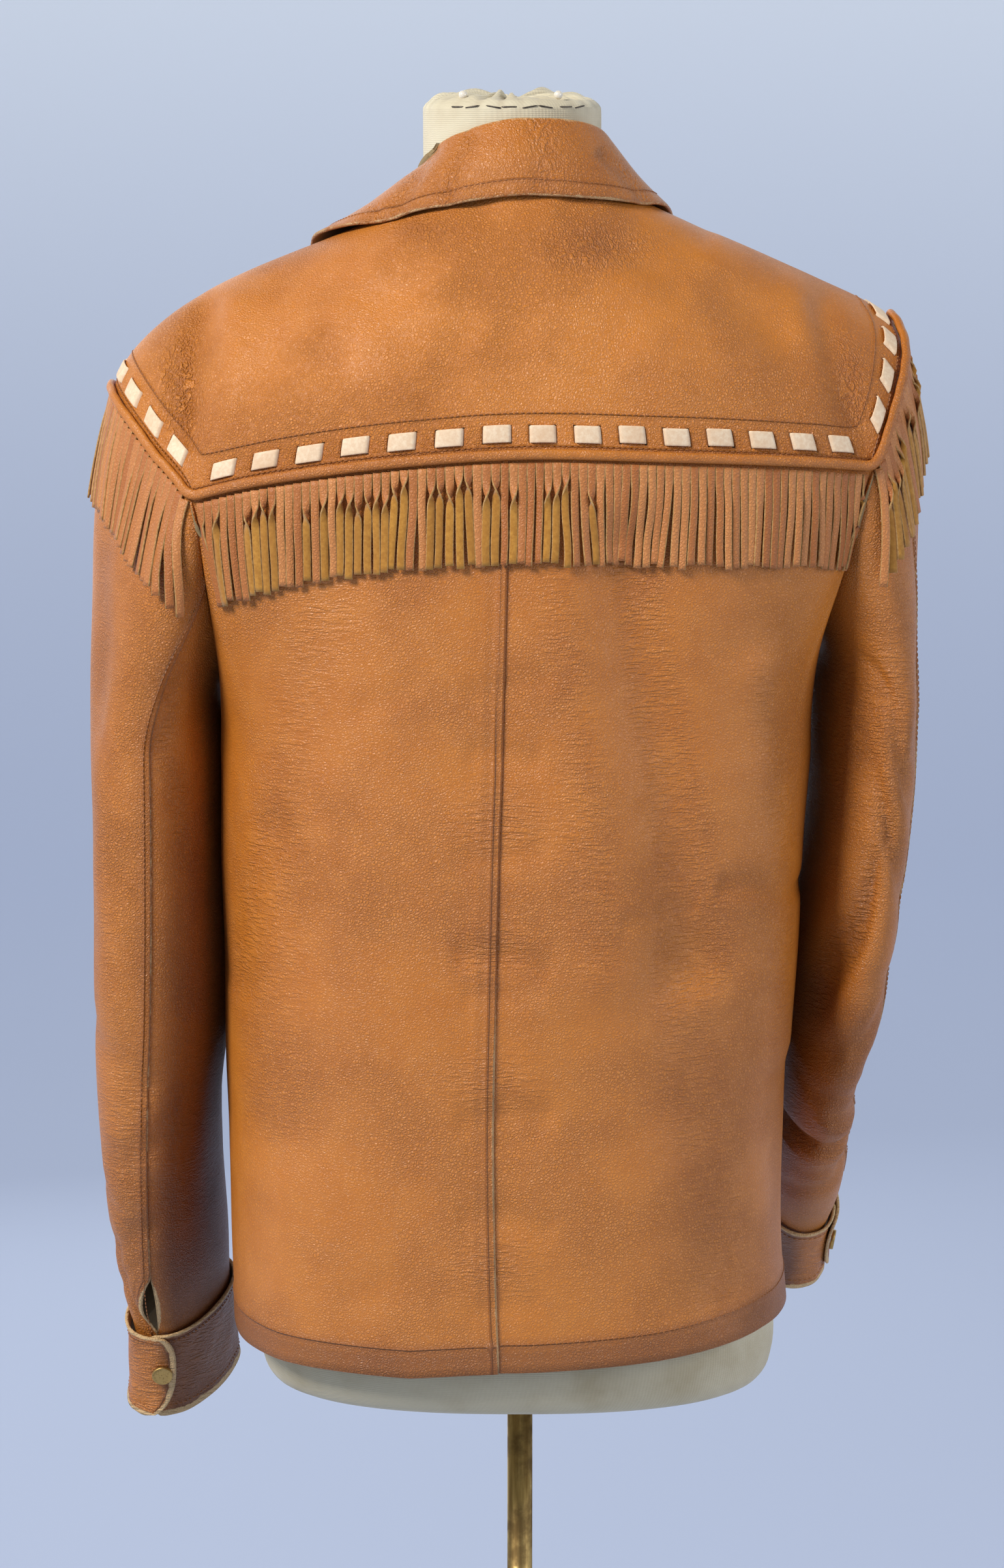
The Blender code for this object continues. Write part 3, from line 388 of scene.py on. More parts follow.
# z, centre x, half width, depth behind and depth before, in mm
BODY = np.array([
    (-385, 3.5, 178, 139, 147), (-440, 5.5, 176, 139, 149), (-520, 7.5, 173, 138, 149),
    (-600, 9, 170, 135, 147), (-680, 8, 169, 133, 144), (-750, 5.5, 170, 131, 142)])
BODY_POWER = 2.6
HIP, FALL_ROWS, HANG_ROWS = BODY[0, 0], 34, 66
HEM = np.array([
    (-90, -738), (0, -739), (40, -745), (75, -747), (90, -743), (115, -738), (150, -729), (180, -726),
    (270, -738)])
HEM_STITCH = 17.0
PUCKERS = (-413, -489, -569, -677)
SEAM_STITCH = 4.0
SEAM_SHARE = 0.467
FRONT_LAP = 0.00125
HEM_RISE, SEAM_RISE = 0.0006, 0.0008
# Soft creases: x and z of each end, half width and depth, all in mm; a ridge has a negative depth
BACK_CREASES = np.array([
    (-62, -250, -100, -500, 24, 7.5), (-100, -500, -122, -700, 30, 4.5), (-22, -262, -54, -500, 30, -4.0),
    (-142, -330, -154, -560, 18, -4.5), (-122, -455, -172, -466, 6, 2.4), (-60, -474, -104, -466, 4, 1.3),
    (14, -262, 10, -740, 9, 1.2), (60, -330, 96, -352, 7, 0.9), (118, -262, 150, -600, 34, 4.0),
    (70, -690, 100, -700, 12, 1.2), (-12, -330, 28, -338, 8, 1.6), (-8, -376, 26, -372, 7, 1.6),
    (-10, -430, 34, -436, 8, 1.4), (-14, -497, 34, -490, 8, 2.2), (-10, -512, 30, -516, 6, 1.4),
    (-14, -585, 32, -592, 9, 2.2), (-8, -600, 28, -608, 6, 1.4), (-14, -655, 30, -648, 9, 1.6),
    (-8, -700, 26, -706, 7, 1.2), (-150, -600, -168, -700, 10, 1.8), (150, -420, 172, -520, 12, 1.8)])
FRONT_CREASES = np.array([
    (60, -250, 110, -520, 26, 3.5), (-70, -260, -118, -500, 28, 4.0), (-110, -500, -130, -690, 24, 3.0),
    (130, -300, 150, -640, 22, -2.5), (-20, -420, -80, -440, 10, 1.5), (40, -600, 100, -590, 12, 1.5)])


def along(curve, fractions):
    """Points at fractions of a curve's length."""
    steps = np.linalg.norm(np.diff(curve, axis=0), axis=1)
    run = np.concatenate([[0], np.cumsum(steps)]) / steps.sum()
    return np.stack([np.interp(fractions, run, curve[:, k]) for k in range(curve.shape[1])], axis=-1)


def hermite(start, end, leave, arrive, s):
    """Cubic from start to end that leaves and arrives with the given runs."""
    h00, h10 = 2 * s**3 - 3 * s**2 + 1, s**3 - 2 * s**2 + s
    h01, h11 = -2 * s**3 + 3 * s**2, s**3 - s**2
    return h00 * start + h10 * leave + h01 * end + h11 * arrive


def grid_normals(grid, wrap=False):
    """Outward normals of a grid: its downward step crossed with its sideways step."""
    down_step = np.gradient(grid, axis=0)
    side_step = np.roll(grid, -1, axis=1) - np.roll(grid, 1, axis=1) if wrap else np.gradient(grid, axis=1)
    return unit(np.cross(down_step, side_step))


def spaced(cells):
    return np.linspace(0, 1, cells * FINE + 1)


def armhole(table):
    curve = spline(world(table), closed=True)
    corner = 6 * 24
    return along(curve[:corner + 1], spaced(ARM_CELLS)), along(curve[corner:], spaced(UNDER_CELLS))


def eased(values, reach, times=1):
    """A running mean over neighbours on both sides, the ends continued in a straight line."""
    step = np.arange(reach, 0, -1)[:, None]
    window = np.ones(2 * reach + 1) / (2 * reach + 1)
    for _ in range(times):
        before = values[:1] - (values[1:2] - values[:1]) * step
        after = values[-1:] + (values[-1:] - values[-2:-1]) * step[::-1]
        padded = np.vstack([before, values, after])
        values = np.stack([np.convolve(column, window, "valid") for column in padded.T], axis=-1)
    return values


def bell(value, width):
    """One at nought and falling to nought on both sides: e to minus the square of value over width."""
    return np.exp(-(value / width) ** 2)


def below(value, at, width):
    """A soft step from one to nought past a place: one over one plus e to the excess over width."""
    return 1 / (1 + np.exp((value - at) / width))


def dents(points, creases):
    """Depth in metres of soft troughs: each falls off as a bell across its line and fades at its ends."""
    x, z = points[..., 0] * 1000, (points[..., 2] - NECK_TOP) * 1000
    total = np.zeros(points.shape[:-1])
    for x0, z0, x1, z1, width, depth in creases:
        length = np.hypot(x1 - x0, z1 - z0)
        ax, az = (x1 - x0) / length, (z1 - z0) / length
        run = ((x - x0) * ax + (z - z0) * az) / length
        bend = 0.18 * width * np.sin(run * 5.1 + x0)
        off = (x - x0) * az - (z - z0) * ax + bend
        ends = np.clip(np.minimum(run, 1 - run) * length / (1.2 * width) + 1, 0, 1)
        total += depth * bell(off, width) * (ends * ends * (3 - 2 * ends))
    return total / 1000


def swells(points, size, seed):
    """Slow uneven rises and falls: three sine waves in slanted directions, in metres."""
    rng = np.random.default_rng(seed)
    total = np.zeros(points.shape[:-1])
    for k in range(5):
        pull = rng.normal(size=3) * (18 + 9 * k)
        total += np.sin(points @ pull + rng.uniform(0, 6.28)) / (1 + 0.6 * k)
    return total * size / 2.5


def leather_shell(name, outer, normal, material, thickness=WALL, keep=None, **layers):
    """A closed skin: the outer grid, the inner grid a thickness under it, and a rounded rim between them."""
    rows, cols = outer.shape[:2]
    inner = outer - normal * thickness
    cells = np.ones((rows - 1, cols - 1), bool) if keep is None else keep
    quads = grid_faces(rows, cols).reshape(rows - 1, cols - 1, 4)
    number = np.arange(rows * cols).reshape(rows, cols)
    total = rows * cols
    faces = [quads[cells], quads[cells][:, ::-1] + total]
    loop = np.concatenate([number[0, :-1], number[:-1, -1], number[-1, :0:-1], number[:0:-1, 0]])
    inside = np.concatenate([number[1, :-1], number[:-1, -2], number[-2, :0:-1], number[:0:-1, 1]])
    flat_outer, flat_inner = outer.reshape(-1, 3), inner.reshape(-1, 3)
    outward = unit(flat_outer[loop] - flat_outer[inside])
    middle = (flat_outer[loop] + flat_inner[loop]) / 2 + outward * thickness * 0.32
    rim = 2 * total + np.arange(len(loop))
    after = np.roll(np.arange(len(loop)), -1)
    faces.append(np.stack([loop[after], loop, rim, rim[after]], axis=-1))
    faces.append(np.stack([rim[after], rim, loop + total, loop[after] + total], axis=-1))
    if keep is not None:
        padded = np.pad(~cells, 1)
        for shift, (p, q) in (((0, -1), (0, 3)), ((0, 1), (2, 1)), ((-1, 0), (1, 0)), ((1, 0), (3, 2))):
            beside = np.roll(padded, (-shift[0], -shift[1]), axis=(0, 1))[1:-1, 1:-1]
            cut = quads[cells & beside]
            side_faces = np.stack([cut[:, q], cut[:, p], cut[:, p] + total, cut[:, q] + total], axis=-1)
            faces.append(side_faces[:, ::-1])
    inside_faces = np.zeros(sum(len(part) for part in faces), int)
    inside_faces[len(faces[0]):2 * len(faces[0])] = 1
    points = np.vstack([flat_outer, flat_inner, middle])
    full = {key: np.concatenate([value.ravel(), value.ravel(), value.ravel()[loop]])
            for key, value in layers.items()}
    faces = np.concatenate(faces)
    used = np.unique(faces)
    renumber = np.zeros(len(points), int)
    renumber[used] = np.arange(len(used))
    return add_mesh(name, points[used], renumber[faces], [material, lining_material], inside_faces,
                    **{key: value[used] for key, value in full.items()})


def deerskin(name, grain=1.0, wear=0.35, dark=0.0, wrinkle=(60.0, 60.0, 330.0)):
    """Tan deerskin: pebbled cells, creased valleys, slow shifts of tone, dark stitch grooves, rubbed edges.

    Fine wrinkles, drawn out by the wrinkle scales, show where the crease attribute is high, and
    the shade attribute darkens the leather toward dark brown as painted shade.
    """
    paint = Paint(name, Specular_IOR_Level=0.6)
    place = paint.place()
    warped = paint.node("ShaderNodeVectorMath", {"operation": "ADD"}, {0: place, 1: paint.node(
        "ShaderNodeVectorMath", {"operation": "SCALE"},
        {0: paint.node("ShaderNodeTexNoise", {}, {"Vector": place, "Scale": 210.0, "Detail": 2.0}, "Color"),
         "Scale": 0.0022})})
    pebble = paint.step(paint.cells(warped, 560.0), 0.02, 0.34)
    small = paint.step(paint.cells(warped, 1150.0), 0.02, 0.30)
    tight = paint.step(paint.noise(place, 11.0, 3.0), 0.36, 0.66)
    slow = paint.noise(place, 4.2, 4.0, 0.6)
    mottle = paint.noise(place, 60.0, 4.0, 0.65)
    crease = paint.layer("crease")
    wrinkled = abs(paint.noise(paint.stretched(place, wrinkle), 1.0, 2.0, 0.6) - 0.5) * 5.0
    furrow = (1 - paint.step(wrinkled, 0.0, 0.8)) * crease
    tan = paint.mixed(paint.step(slow, 0.32, 0.70), (0.560, 0.172, 0.014, 1), (0.660, 0.222, 0.024, 1))
    toned = paint.mixed(paint.step(mottle, 0.30, 0.75) * 0.40, tan, (0.700, 0.255, 0.040, 1))
    # Painted shade: the grain's valleys and the wrinkles' furrows darkened
    valley = (1 - pebble) * (0.22 + 0.25 * tight) + furrow * 0.45
    creased = paint.mixed(valley, toned, (0.270, 0.070, 0.008, 1))
    line = abs(paint.layer("line"))
    near = 1 - paint.step(line, 0.0, 3.2)
    groove = 1 - paint.step(line, 0.2, 1.0)
    grooved = paint.mixed(near * 0.15 + groove * 0.30, creased, (0.180, 0.048, 0.008, 1))
    # Painted shade from the shade attribute: in folds, beside lapped edges, on sides turned from the light,
    # and on the hem band
    painted_shade = paint.mixed(paint.layer("shade") * (0.75 + 0.25 * mottle), grooved, (0.085, 0.025, 0.010, 1))
    edge = paint.layer("edge")
    chipped = paint.noise(place, 170.0, 5.0, 0.7) * 3.4 + paint.noise(place, 22.0, 2.0) * 2.6 - 0.9
    rubbed = (1 - paint.step(edge - chipped * wear * 1.6, -0.7, 0.4)) * min(1.0, wear * 2.2)
    worn = paint.mixed(rubbed, painted_shade, (0.66, 0.43, 0.20, 1))
    final = paint.mixed(dark, worn, (0.200, 0.058, 0.010, 1)) if dark else worn
    rough = 0.42 + 0.08 * tight - 0.10 * pebble + 0.22 * rubbed
    height = ((pebble * 0.65 + small * 0.30 + mottle * 0.25) * (0.45 + 0.55 * tight) * grain
              - groove * 1.6 - near * 0.5 - furrow * 2.2)
    return paint.finish(final, rough, height, 0.00075, 0.9)


def lining():
    """The flesh side of the skins, grey-olive suede, as it shows inside the vents and the hem."""
    paint = Paint("flesh_lining", Roughness=0.95)
    nap = paint.noise(paint.place(), 380.0, 5.0, 0.7)
    colour = paint.mixed(nap, (0.20, 0.13, 0.055, 1), (0.36, 0.26, 0.13, 1))
    return paint.finish(colour, None, nap, 0.0003, 0.5)


lining_material = lining()
deerskin_body = deerskin("deerskin_body", grain=0.85)
upper_left, lower_left = armhole(ARMHOLE_LEFT)
upper_right, lower_right = armhole(ARMHOLE_RIGHT)
back_share = np.concatenate([
    np.linspace(0, SEAM_SHARE, SEAM_CELL * FINE, endpoint=False),
    np.linspace(SEAM_SHARE, 1, (BACK_CELLS - SEAM_CELL) * FINE + 1)])
back_line = along(spline(world(BACK_LINE)), back_share)
front_left = along(spline(world(FRONT_LEFT)), spaced(FRONT_CELLS))
front_right = along(spline(world(FRONT_RIGHT)), spaced(FRONT_CELLS))
top = np.vstack([front_left[:-1], lower_left[::-1][:-1], back_line[:-1], lower_right[:-1], front_right[::-1]])
B0, B1 = FRONT_CELLS * FINE, (FRONT_CELLS + UNDER_CELLS) * FINE
B2 = B1 + BACK_CELLS * FINE
B3 = B2 + UNDER_CELLS * FINE
CENTRE_BACK = B1 + SEAM_CELL * FINE
SIDE_LEFT, SIDE_RIGHT = (B0 + B1) // 2, (B2 + B3) // 2


def body_ring(angle, z):
    """Body points at azimuths and heights: the superellipse of the body table at each height."""
    centre, half, back, front = np.moveaxis(smooth_table(BODY[::-1], np.clip(z, BODY[-1, 0], HIP)), -1, 0)
    x, y = oval(angle, centre, half, back, front, BODY_POWER)
    return world(np.stack([x, y, z], axis=-1))


depth = np.where(top[:, 1] > 0, BODY[0, 3], BODY[0, 4])
power = BODY_POWER / 2
side_x = np.abs(top[:, 0] * 1000 - BODY[0, 1] * np.sign(top[:, 0])) / BODY[0, 2]
around = np.unwrap(np.arctan2(np.sign(top[:, 1]) * (np.abs(top[:, 1] * 1000) / depth) ** power,
                              np.sign(top[:, 0]) * side_x ** power))
around = eased(np.maximum.accumulate(around)[:, None], 12)[:, 0]
hem_z = np.interp(np.degrees(around), HEM[:, 0], HEM[:, 1])
hip = body_ring(around, np.full(len(top), HIP))
down = np.array([0.0, 0.0, -1.0])
fall = np.linalg.norm(hip - top, axis=1)[:, None]
start_run = unit(unit(hip - top) * 0.5 + down * 0.5) * fall
flat_back = np.zeros(len(top), bool)
flat_back[B1 + 4:B2 - 3] = flat_back[:B0 - 3] = flat_back[B3 + 4:] = True
lean_out = np.where(top[:, 1] > 0, 0.08, -0.2)[:, None] * np.array([0.0, 1.0, 0.0])
start_run = np.where(flat_back[:, None], unit(down + lean_out) * fall, start_run)
body_rows = [hermite(top, hip, start_run, down * fall, s) for s in np.linspace(0, 1, FALL_ROWS)[:-1]]
body_rows += [body_ring(around, HIP + f * (hem_z - HIP)) for f in np.linspace(0, 1, HANG_ROWS)]
body = np.stack(body_rows)
for i in range(1, FALL_ROWS):
    share = min(1, i / 8, (FALL_ROWS - i) / 12)
    body[i] = body[i] * (1 - share) + eased(body[i], 5, times=3) * share
body_normal = grid_normals(body)
from_hem = (body[..., 2] - NECK_TOP) * 1000 - hem_z[None]
is_back = np.clip(body[..., 1] / 0.03, 0, 1)
is_front = np.clip(-body[..., 1] / 0.03, 0, 1)
ease = np.clip((body[0, :, 2][None] - body[..., 2]) / 0.05, 0, 1)
sunk = dents(body, BACK_CREASES) * is_back + dents(body, FRONT_CREASES) * is_front
sunk += swells(body, 0.0010, 3)
turned_up = below(from_hem, HEM_STITCH, 0.8)


def front_lap(columns):
    """How far the front edges stand out, in metres: the left one over, the right one under."""
    ramp = np.interp(np.arange(B0 + 1) / FINE, [0, 3, 5], [1, 1, 0])
    lap = np.zeros(columns)
    lap[:B0 + 1] = ramp * FRONT_LAP
    lap[-B0 - 1:] = -ramp[::-1] * FRONT_LAP
    return lap


raised = -sunk * ease + HEM_RISE * turned_up + front_lap(len(top))
body = body + body_normal * raised[..., None]
body_normal = grid_normals(body)


def seam_distance(grid, column):
    """Millimetres of each point from one column of its grid, along its row."""
    steps = np.linalg.norm(np.diff(grid, axis=1), axis=2) * 1000
    run = np.concatenate([np.zeros((len(grid), 1)), np.cumsum(steps, axis=1)], axis=1)
    return run - run[:, column][:, None]


# Widths, lengths and areas of the cut pieces, in metres and square metres
for name, j0, j1, cut in (
        ("front_left", 0, SIDE_LEFT, (0.255, 0.560, 0.122)),
        ("back_left", SIDE_LEFT, CENTRE_BACK, (0.275, 0.560, 0.128)),
        ("back_right", CENTRE_BACK, SIDE_RIGHT, (0.300, 0.560, 0.138)),
        ("front_right", SIDE_RIGHT, len(top) - 1, (0.255, 0.560, 0.125))):
    part, normal = body[:, j0:j1 + 1].copy(), body_normal[:, j0:j1 + 1]
    hem_part = from_hem[:, j0:j1 + 1]
    first, last = seam_distance(part, 0), -seam_distance(part, -1)
    line = np.abs(hem_part - HEM_STITCH)
    edge = hem_part + 2.3
    # Painted shade, with some dirt, on the turned-up hem band below its stitches and a little along them
    shade = 0.52 * below(hem_part, HEM_STITCH, 0.8) + 0.08 * bell(hem_part - HEM_STITCH, 14)
    crease = np.clip(np.abs(sunk[:, j0:j1 + 1]) * 120 - 0.25, 0, 0.3)
    high = (part[..., 2] - NECK_TOP) * 1000
    puckered = sum(bell(high - at, 20) for at in PUCKERS)
    if name == "back_right":
        line = np.minimum(line, first + 0.3)
        # Painted shadow beside the left back's lapped edge
        shade = np.maximum(shade, 0.25 * bell(first, 2.5))
        crease = np.maximum(crease, 0.36 * puckered * bell(first, 26))
    if name == "back_left":
        line = np.minimum(line, np.minimum(np.abs(last - SEAM_STITCH), last * 2 + 0.2))
        shade = np.maximum(shade, 0.13 * below(last, 12, 0.9))
        crease = np.maximum(crease, 0.40 * puckered * bell(last, 26))
        part += normal * (SEAM_RISE * below(last, SEAM_STITCH + 2, 0.8))[..., None]
        part += normal * (HEM_RISE * below(last, 13, 0.8))[..., None]
        edge = np.minimum(edge, last + 0.5 + np.clip((hem_part - 190) / 60, 0, 1) * 1.4)
    if name in ("front_left", "front_right"):
        free = first if name == "front_left" else last
        line = np.minimum(line, np.minimum(np.abs(free - 3), np.abs(free - 30)))
        edge = np.minimum(edge, free)
    panel = leather_shell(f"panel_{name}", part, normal, deerskin_body, line=line, edge=edge, shade=shade,
                          crease=crease)
    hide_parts(name)

# Yoke
# One piece of deerskin from the collar seam over both shoulders, back and front. Its lower edge
# is slit for the lacing, between two rows of stitches, and is sewn over the fringe and piping.
# cell number, azimuth, and the runs (mm) with which each column leaves the neck and reaches the edge
YOKE_SHAPE = np.array([
    (0, -96, 0, -110, -70, 0, -30, -120),
    (5, -50, 95, -80, -70, 25, -25, -140),
    (13.5, 0, 150, 0, -60, 50, 0, -185),
    (22, 46, 105, 90, -65, 10, 20, -160),
    (37.5, 90, 0, 115, -65, 0, 14, -170),
    (53, 134, -100, 90, -70, -15, 20, -150),
    (61.5, 180, -140, 0, -75, -90, 0, -80),
    (70, 230, -95, -80, -70, -25, -25, -140),
    (75, 276, 0, -110, -70, 0, -30, -120)])
NECK_X, NECK_HALF = 3.0, (62.0, 64.0)
NECK_SEAM = np.array([
    (-96, -89), (-84, -89), (-50, -80), (0, -65), (46, -50), (90, -42), (134, -45), (180, -54), (230, -76),
    (264, -89), (276, -89)])
SLIT_HIGH, SLIT_LOW = 0.0172, 0.0067
BAND_TOP = 0.034
PLAIN_ROWS, BAND_ROWS, SLIT_COUNT, EDGE_ROWS = 43, 8, 6, 5
BAND_STITCH, EDGE_STITCH = 24.0, 4.6
YOKE_CREASES = np.array([
    (30, -62, 110, -150, 16, 2.8), (16, -66, 52, -190, 13, 2.4), (-5, -62, 8, -130, 14, 2.4),
    (-30, -62, -90, -104, 12, 2.0), (-52, -78, -150, -132, 12, 1.6), (188, -122, 200, -222, 9, 5.0),
    (166, -120, 176, -215, 13, -3.4), (207, -150, 204, -200, 4, 1.6), (196, -136, 192, -214, 4, 1.4),
    (-176, -120, -196, -185, 10, 3.0), (-160, -110, -176, -190, 12, -2.2), (60, -105, 140, -110, 10, 1.4),
    (-20, -84, -110, -80, 7, 1.8), (-24, -94, -100, -96, 5, 1.4), (-10, -76, -70, -72, 5, 1.2),
    (90, -140, 150, -206, 22, -2.2), (-70, -150, -130, -200, 20, -2.0), (10, -150, -30, -204, 18, 1.8)])
YOKE_FRONT_CREASES = np.array([
    (70, -110, 150, -190, 16, 2.6), (-75, -110, -150, -185, 16, 2.6), (150, -130, 180, -200, 12, 2.0)])

edge_line = np.vstack([
    front_left[:-1], upper_left[:-1], back_line[:-1], upper_right[::-1][:-1], front_right[::-1]])
L0, L1 = FRONT_CELLS * FINE, (FRONT_CELLS + ARM_CELLS) * FINE
R0 = L1 + BACK_CELLS * FINE
R1 = R0 + ARM_CELLS * FINE
shape_rows = smooth_table(YOKE_SHAPE, np.arange(len(edge_line)) / FINE)
azimuth = np.radians(shape_rows[:, 0])
leave, arrive = shape_rows[:, 1:4] / 1000, shape_rows[:, 4:7] / 1000


def neck_height(angle):
    return smooth_table(NECK_SEAM, np.degrees(angle))[:, 0]


def neck_ring(angle, out=0.0, height=None):
    """Points round the neck: an ellipse at the seam's height, or another, moved out by some millimetres."""
    z = neck_height(angle) if height is None else height
    return world(np.stack([NECK_X + (NECK_HALF[0] + out) * np.cos(angle),
                           (NECK_HALF[1] + out) * np.sin(angle), z], axis=-1))


neck = neck_ring(azimuth)
share = np.linspace(0, 1, 241)
yoke_fine = hermite(neck[None], edge_line[None], leave[None], arrive[None], share[:, None, None])
run = np.vstack([
    np.zeros(len(edge_line)), np.cumsum(np.linalg.norm(np.diff(yoke_fine, axis=0), axis=2), axis=0)])


def down_columns(curves, runs, wanted):
    """Points at a wanted distance down each column, found in the columns' running lengths."""
    place = np.array([np.interp(wanted[j], runs[:, j], np.arange(len(runs))) for j in range(len(wanted))])
    low = np.clip(place.astype(int), 0, len(runs) - 2)
    part = (place - low)[:, None]
    columns = np.arange(len(wanted))
    return curves[low, columns] * (1 - part) + curves[low + 1, columns] * part


full = run[-1]
band_distances = np.concatenate([
    np.linspace(BAND_TOP, SLIT_HIGH, BAND_ROWS + 1)[:-1],
    np.linspace(SLIT_HIGH, SLIT_LOW, SLIT_COUNT + 1)[:-1],
    np.linspace(SLIT_LOW, 0, EDGE_ROWS)])
row_from_edge = [full - (full - BAND_TOP) * f for f in np.linspace(0, 1, PLAIN_ROWS + 1)[:-1]]
row_from_edge = np.stack(row_from_edge + [np.full(len(full), distance) for distance in band_distances])
SLIT_ROWS = slice(PLAIN_ROWS + BAND_ROWS, PLAIN_ROWS + BAND_ROWS + SLIT_COUNT)
yoke = np.stack([down_columns(yoke_fine, run, full - d) for d in row_from_edge])
eased_rows = PLAIN_ROWS + 12
for i in range(1, eased_rows):
    part = min(1, i / 6) * np.clip((eased_rows - i) / 16, 0, 1)
    yoke[i] = yoke[i] * (1 - part) + eased(yoke[i], 6, times=3) * part
yoke_normal = grid_normals(yoke)
on_back = np.clip(yoke[..., 1] / 0.03, 0, 1)
on_front = np.clip(-yoke[..., 1] / 0.03, 0, 1)
calm = np.clip((row_from_edge - 0.008) / 0.03, 0, 1) * np.clip((full[None] - row_from_edge) / 0.02, 0, 1)
yoke_sunk = dents(yoke, YOKE_CREASES) * on_back + dents(yoke, YOKE_FRONT_CREASES) * on_front
yoke_sunk += swells(yoke, 0.0008, 8)
yoke = yoke + yoke_normal * (-yoke_sunk * calm + front_lap(len(edge_line)))[..., None]
yoke_normal = grid_normals(yoke)
cell_of = np.arange(len(edge_line) - 1) // FINE
laced = np.zeros(len(edge_line) - 1, bool)
for first_cell, last_cell in ((L0, L1), (L1, R0), (R0, R1)):
    in_run = (cell_of >= first_cell // FINE) & (cell_of < last_cell // FINE)
    laced |= in_run & ((cell_of - first_cell // FINE) % 2 == 1)
slit = ~laced & (np.roll(laced, 1) | np.roll(laced, -1))
keep = np.ones((len(yoke) - 1, len(edge_line) - 1), bool)
keep[SLIT_ROWS] = ~slit[None]
deerskin_yoke = deerskin("deerskin_yoke", grain=1.1, wrinkle=(300.0, 300.0, 70.0))
mm_from_edge = row_from_edge * 1000
yoke_line = np.minimum(np.abs(mm_from_edge - BAND_STITCH), np.abs(mm_from_edge - EDGE_STITCH))
yoke_edge = np.full_like(yoke_line, 30.0)
yoke_x, yoke_z = yoke[..., 0] * 1000, (yoke[..., 2] - NECK_TOP) * 1000
# Where the yoke is finely wrinkled: centre x and z, reach across and down in mm, and strength
WRINKLED_AT = (
    (200, -182, 15, 44, 1.2), (-193, -178, 12, 36, 0.84), (-42, -84, 32, 13, 0.66), (60, -74, 22, 9, 0.48))
yoke_crease = on_back * sum(strength * bell(yoke_x - x_at, across_by) * bell(yoke_z - z_at, down_by)
                            for x_at, z_at, across_by, down_by, strength in WRINKLED_AT)
yoke_crease = np.clip(yoke_crease * (0.3 + 0.7 * calm), 0, 1)
# Painted shade along the yoke's lower edge, where the piping sits
yoke_shade = 0.16 * np.clip(1 - mm_from_edge / 7, 0, 1)
yoke_skin = leather_shell("yoke_skin", yoke, yoke_normal, deerskin_yoke, keep=keep, line=yoke_line,
                          edge=yoke_edge, crease=yoke_crease, shade=yoke_shade)
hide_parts("yoke")

# Lacing
# One long cream leather lace, 10 mm wide and 1 mm thick, run in and out of the yoke's slits, so
# that it shows as a row of blocks with the yoke's leather over it between them.
LACE_WIDTH, LACE_THICKNESS = 0.0102, 0.0011
LACE_UNDER, LACE_OVER = 0.0026, 0.0009


def cream_lace():
    paint = Paint("cream_lace", Roughness=0.6, Sheen_Weight=0.1)
    place = paint.place()
    fibres = paint.noise(place, 420.0, 4.0, 0.7)
    stain = paint.step(paint.noise(place, 38.0, 4.0), 0.45, 0.75)
    pale = paint.mixed(paint.step(fibres, 0.35, 0.7), (0.76, 0.54, 0.34, 1), (0.86, 0.68, 0.47, 1))
    colour = paint.mixed(stain * 0.45, pale, (0.62, 0.36, 0.18, 1))
    return paint.finish(colour, None, fibres, 0.0003, 0.5)


def strip_tube(name, centre, across, out, half_width, half_thick, materials, power=4.0, sides=16, **layers):
    """A flat strip as a closed tube: a rounded box section, the superellipse, carried along a path."""
    turn = np.arange(sides) * 2 * np.pi / sides
    u, v = oval(turn, 0.0, 1.0, 1.0, 1.0, power)
    half_width, half_thick = np.asarray(half_width)[..., None, None], np.asarray(half_thick)[..., None, None]
    rings = (centre[:, None] + across[:, None] * u[None, :, None] * half_width
             + out[:, None] * v[None, :, None] * half_thick)
    rings = np.concatenate([centre[:1, None] + 0 * rings[:1], rings, centre[-1:, None] + 0 * rings[-1:]])
    faces = grid_faces(len(rings), sides, wrap=True)
    more = {key: np.repeat(np.concatenate([v[:1], v, v[-1:]]), sides) for key, v in layers.items()}
    return add_mesh(name, rings.reshape(-1, 3), faces, materials, **more)


band_place = np.arange(L0 + FINE // 4, R1 - FINE // 4 + 0.01, 0.5)
whole = np.clip(band_place.astype(int), 0, len(edge_line) - 2)
fraction = (band_place - whole)[:, None]


def band(row):
    return yoke[row, whole] * (1 - fraction) + yoke[row, whole + 1] * fraction


def band_normal(row):
    return unit(yoke_normal[row, whole] * (1 - fraction) + yoke_normal[row, whole + 1] * fraction)


cell_start = np.where(band_place < L1, L0, np.where(band_place < R0, L1, R0))
in_cell = (band_place - cell_start) / FINE
block_count = np.where(cell_start == L1, BACK_CELLS // 2, ARM_CELLS // 2)
block = np.clip(np.round((in_cell - 1.5) / 2), 0, block_count - 1)
from_middle = np.abs(in_cell - 2 * block - 1.5)
rise = np.clip((0.61 - from_middle) / 0.09, 0, 1)
rise = rise * rise * (3 - 2 * rise)
lace_bow = 0.0004 * np.cos(np.pi * np.clip(from_middle, 0, 0.5))
lace_lift = -LACE_UNDER + rise * (LACE_UNDER + LACE_OVER + lace_bow)
rng = np.random.default_rng(5)
block_number = (block + 20 * (cell_start > L0) + 40 * (cell_start > L1)).astype(int)
lean = rng.uniform(-0.0005, 0.0005, block_number.max() + 1)[block_number]
mid_row = SLIT_ROWS.start + SLIT_COUNT // 2
lace_centre = band(mid_row) + band_normal(mid_row) * lace_lift[:, None]
lace_across = unit(band(SLIT_ROWS.stop) - band(SLIT_ROWS.start))
lace_centre = lace_centre + lace_across * lean[:, None]
lace_out = unit(np.cross(lace_across, np.gradient(lace_centre, axis=0)))
lace_out *= np.sign(np.sum(lace_out * band_normal(mid_row), axis=1))[:, None]
lace = strip_tube("lace_strip", lace_centre, lace_across, lace_out, LACE_WIDTH / 2, LACE_THICKNESS / 2,
                  [cream_lace()])
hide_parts("lace")

